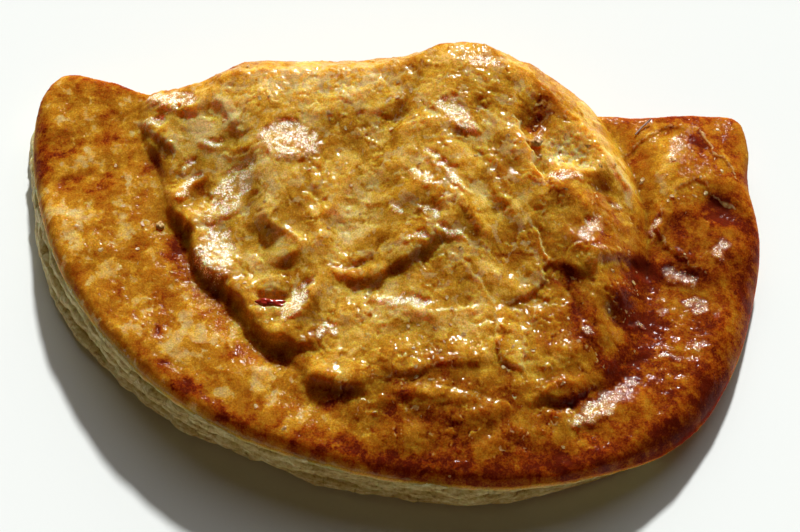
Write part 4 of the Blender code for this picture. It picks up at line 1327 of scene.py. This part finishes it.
def glazed_crust():
    f = Finish("glazed_crust")
    fine = f.noise(1900.0, 1.5, 0.6)
    blotch = f.noise(260.0, 4.0, 0.6, 0.6)
    freckle = f.noise(620.0, 2.0, 0.5)
    shine, gloss = f.attribute("shine"), f.attribute("gloss")

    bake_and_shade = f.math("ADD", f.attribute("bake_and_shade"), f.centred(blotch, 0.14))
    bake_and_shade = f.math("ADD", bake_and_shade, f.centred(fine, 0.46))
    bake_and_shade = f.math("ADD", bake_and_shade, f.centred(freckle, 0.22), clamp=True)
    ragged = f.math("ADD", f.attribute("cream"), f.centred(freckle, 0.5))
    cream = f.math("MULTIPLY_ADD", f.math("SUBTRACT", ragged, 0.38), 2.6, 0.0, clamp=True)
    pale = f.mix(f.noise(800.0), CREAM, TOASTED_CREAM)
    colour = f.mix(f.math("MULTIPLY", cream, 0.85), f.ramp(bake_and_shade, BAKES), pale)

    # Painted sheen: a thin pale veil and bright specks painted in where the glaze shines
    brink = f.math("MULTIPLY_ADD", shine, -0.30, 0.74)
    speck = f.math("MULTIPLY", f.math("SUBTRACT", f.noise(2300.0, 1.0, 0.6), brink), 9.0, clamp=True)
    veil = f.math("MULTIPLY_ADD", speck, 0.85, f.math("MULTIPLY", shine, 0.17), clamp=True)
    veil = f.math("MULTIPLY", veil, f.math("MULTIPLY", shine, 3.0, clamp=True))
    colour = f.mix(veil, colour, PAINTED_SHEEN)

    crisp = f.math("MULTIPLY_ADD", f.noise(2600.0, 1.0, 0.5), 1.0, 0.50)
    shade = f.first("ShaderNodeCombineColor", {0: crisp, 1: crisp, 2: crisp})
    polish = f.math("ADD", gloss, f.centred(blotch, 0.3), clamp=True)
    wet = f.math("MULTIPLY_ADD", gloss, 0.80, 0.04)
    wet = f.math("MULTIPLY_ADD", shine, 0.62, wet, clamp=True)
    f.set(
        Base_Color=f.mix(1.0, colour, shade, "MULTIPLY"),
        Roughness=f.math("MULTIPLY_ADD", polish, -0.20, 0.80),
        Specular_IOR_Level=0.03,
        Coat_Weight=f.math("MULTIPLY", wet, f.math("ADD", blotch, 0.3, clamp=True)),
        Coat_Roughness=0.115,
        Subsurface_Weight=f.math("MULTIPLY_ADD", f.attribute("thin"), -0.65, 0.90),
        Subsurface_Scale=0.010,
        Subsurface_Radius=(1.0, 0.32, 0.06))
    coarse, grain = f.noise(750.0, 1.0), f.noise(2000.0, 0.5)
    f.bump([(coarse, 0.05), (grain, 0.05)])
    frosted = f.math("MULTIPLY", grain, f.math("MULTIPLY_ADD", shine, 0.80, 0.20))
    f.bump([(coarse, 0.16), (frosted, 0.40)], "Coat Normal")
    return f.material


def pale_dough():
    f = Finish("pale_dough")
    grain = f.noise(1100.0, 3.0, 0.65)
    # dark lines along the layers: their lamination, with painted shade for the gaps between the leaves
    level = f.vector("MULTIPLY", f.place, (1.0, 1.0, 5.0))
    lines = f.first("ShaderNodeTexNoise", {"Vector": level, "Scale": 420.0, "Detail": 3.0})
    toast = f.math("ADD", f.centred(f.noise(180.0, 4.0), 0.8), f.centred(grain, 1.1))
    toast = f.math("ADD", toast, f.centred(lines, 1.5))
    colour = f.ramp(f.math("ADD", toast, 0.5, clamp=True), [
        (0.10, (0.760, 0.700, 0.360)),
        (0.40, (0.640, 0.540, 0.220)),
        (0.70, (0.500, 0.370, 0.105)),
        (0.95, (0.240, 0.140, 0.030)),
    ])
    f.set(Base_Color=colour, Roughness=0.55, Subsurface_Weight=0.2, Subsurface_Scale=0.0025,
          Subsurface_Radius=FLESH)
    f.bump([(lines, 0.28), (grain, 0.22)])
    return f.material


def toasted_base():
    f = Finish("toasted_base")
    toast = f.math("ADD", f.centred(f.noise(90.0, 5.0), 0.9), f.centred(f.noise(1100.0, 3.0), 0.3))
    colour = f.ramp(f.math("ADD", toast, 0.5, clamp=True), [
        (0.10, (0.420, 0.240, 0.070)),
        (0.50, (0.330, 0.150, 0.030)),
        (0.90, (0.190, 0.060, 0.012)),
    ])
    f.set(Base_Color=colour, Roughness=0.7)
    f.bump([(f.noise(700.0, 4.0), 0.3)])
    return f.material


def loose_flake():
    f = Finish("loose_flake")
    colour = f.ramp(f.noise(500.0, 3.0), [
        (0.30, (0.560, 0.400, 0.170)),
        (0.55, (0.430, 0.240, 0.070)),
        (0.75, (0.300, 0.120, 0.020)),
    ])
    f.set(Base_Color=colour, Roughness=0.45, Subsurface_Weight=0.2, Subsurface_Scale=0.0015,
          Subsurface_Radius=FLESH)
    f.bump([(f.noise(1500.0, 2.0), 0.12)])
    return f.material


def red_filling():
    f = Finish("red_filling")
    colour = f.ramp(f.noise(700.0, 3.0), [(0.3, (0.300, 0.018, 0.006)), (0.7, (0.160, 0.008, 0.004))])
    f.set(Base_Color=colour, Roughness=0.16, Coat_Weight=0.6, Coat_Roughness=0.08,
          Subsurface_Weight=0.2, Subsurface_Scale=0.002, Subsurface_Radius=FLESH)
    f.bump([(f.noise(900.0, 2.0), 0.2)])
    return f.material


def dark_shred():
    f = Finish("dark_shred")
    colour = f.ramp(f.noise(900.0), [(0.3, (0.16, 0.10, 0.07)), (0.7, (0.30, 0.22, 0.18))])
    f.set(Base_Color=colour, Roughness=0.6)
    return f.material


def white_floor():
    f = Finish("white_floor")
    f.set(Base_Color=(0.76, 0.81, 0.82, 1), Roughness=0.9, Specular_IOR_Level=0.2)
    return f.material


# ---------------------------------------------------------------- stage

FLOOR_REACH = 1.5

# Lamps: degrees round from +Y and up from the table, strength, width in degrees and colour. The sun
# stands low behind the pasty, a little to the right; a faint light comes back from in front.
LAMPS = {
    "sun": (8, 35, 5.35, 4, (1.0, 0.975, 0.94)),
    "haze round the sun": (8, 35, 1.2, 70, (1.0, 0.975, 0.94)),
    "light from in front": (190, 8, 0.40, 70, (1.0, 0.60, 0.28)),
}
ROOM_COLOUR = (1.0, 0.80, 0.60, 1)
ROOM_STRENGTH = 0.010

CAMERA_ELEVATION = 60
CAMERA_DISTANCE = 0.65
CAMERA_SENSOR = 36
VIEW_WIDTH = 0.1975  # what the picture spans at the camera's distance
TARGET = (1.8, 0.43, 17.15)  # in mm from the shares' middle


def floor():
    mesh = bpy.data.meshes.new("floor")
    corners = [(FLOOR_REACH * x, FLOOR_REACH * y, 0) for x, y in ((-1, -1), (1, -1), (1, 1), (-1, 1))]
    mesh.from_pydata(corners, [], [(0, 1, 2, 3)])
    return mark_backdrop(new_piece("floor", mesh, white_floor()))


def lamps():
    for name, (around, up, energy, angle, colour) in LAMPS.items():
        around, up = math.radians(around), math.radians(up)
        towards = Vector((math.sin(around) * math.cos(up), math.cos(around) * math.cos(up), math.sin(up)))
        light = bpy.data.lights.new(name, "SUN")
        light.energy = energy
        light.angle = math.radians(angle)
        light.color = colour
        lamp = linked(name, light)
        lamp.rotation_euler = towards.to_track_quat("Z", "Y").to_euler()
        lamp.visible_glossy = name == "sun"  # the soft lights leave no veil on the glaze


def room_light():
    world = bpy.data.worlds.new("room")
    world.use_nodes = True
    background = world.node_tree.nodes["Background"]
    background.inputs[0].default_value = ROOM_COLOUR
    background.inputs[1].default_value = ROOM_STRENGTH
    bpy.context.scene.world = world


def camera():
    """Looks down on the pasty's middle from the front."""
    lens = bpy.data.cameras.new("camera")
    lens.sensor_width = CAMERA_SENSOR
    lens.lens = lens.sensor_width * CAMERA_DISTANCE / VIEW_WIDTH
    eye = linked("camera", lens)
    up = math.radians(CAMERA_ELEVATION)
    look = Vector((0, math.cos(up), -math.sin(up)))
    target = Vector((TARGET[0] * MM + SHIFT[0], TARGET[1] * MM + SHIFT[1], TARGET[2] * MM))
    eye.location = target - look * CAMERA_DISTANCE
    eye.rotation_euler = look.to_track_quat("-Z", "Y").to_euler()
    bpy.context.scene.camera = eye


def build():
    dough, flakes = pale_dough(), loose_flake()
    crust_piece = crust(glazed_crust(), dough, toasted_base())
    surface = BVHTree.FromObject(crust_piece, bpy.context.evaluated_depsgraph_get())

    def height_at(xy):
        hits = [surface.ray_cast((x, y, HEIGHT * 2), (0, 0, -1))[0] for x, y in xy]
        return np.array([hit.z if hit else RIM_HEIGHT for hit in hits])

    pieces = [
        crust_piece,
        edge_leaves(dough),
        loose_flakes(flakes, crust_piece),
        lumps("filling", red_filling(), FILLING, height_at, 1.0),
        lumps("crumbs", flakes, CRUMBS, height_at, 4.0),
        shred(dark_shred(), height_at),
    ]
    for piece in pieces:
        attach(piece, "root")
    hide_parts("pasty")


bpy.context.scene.view_settings.view_transform = "Standard"
build()
floor()
lamps()
room_light()
camera()
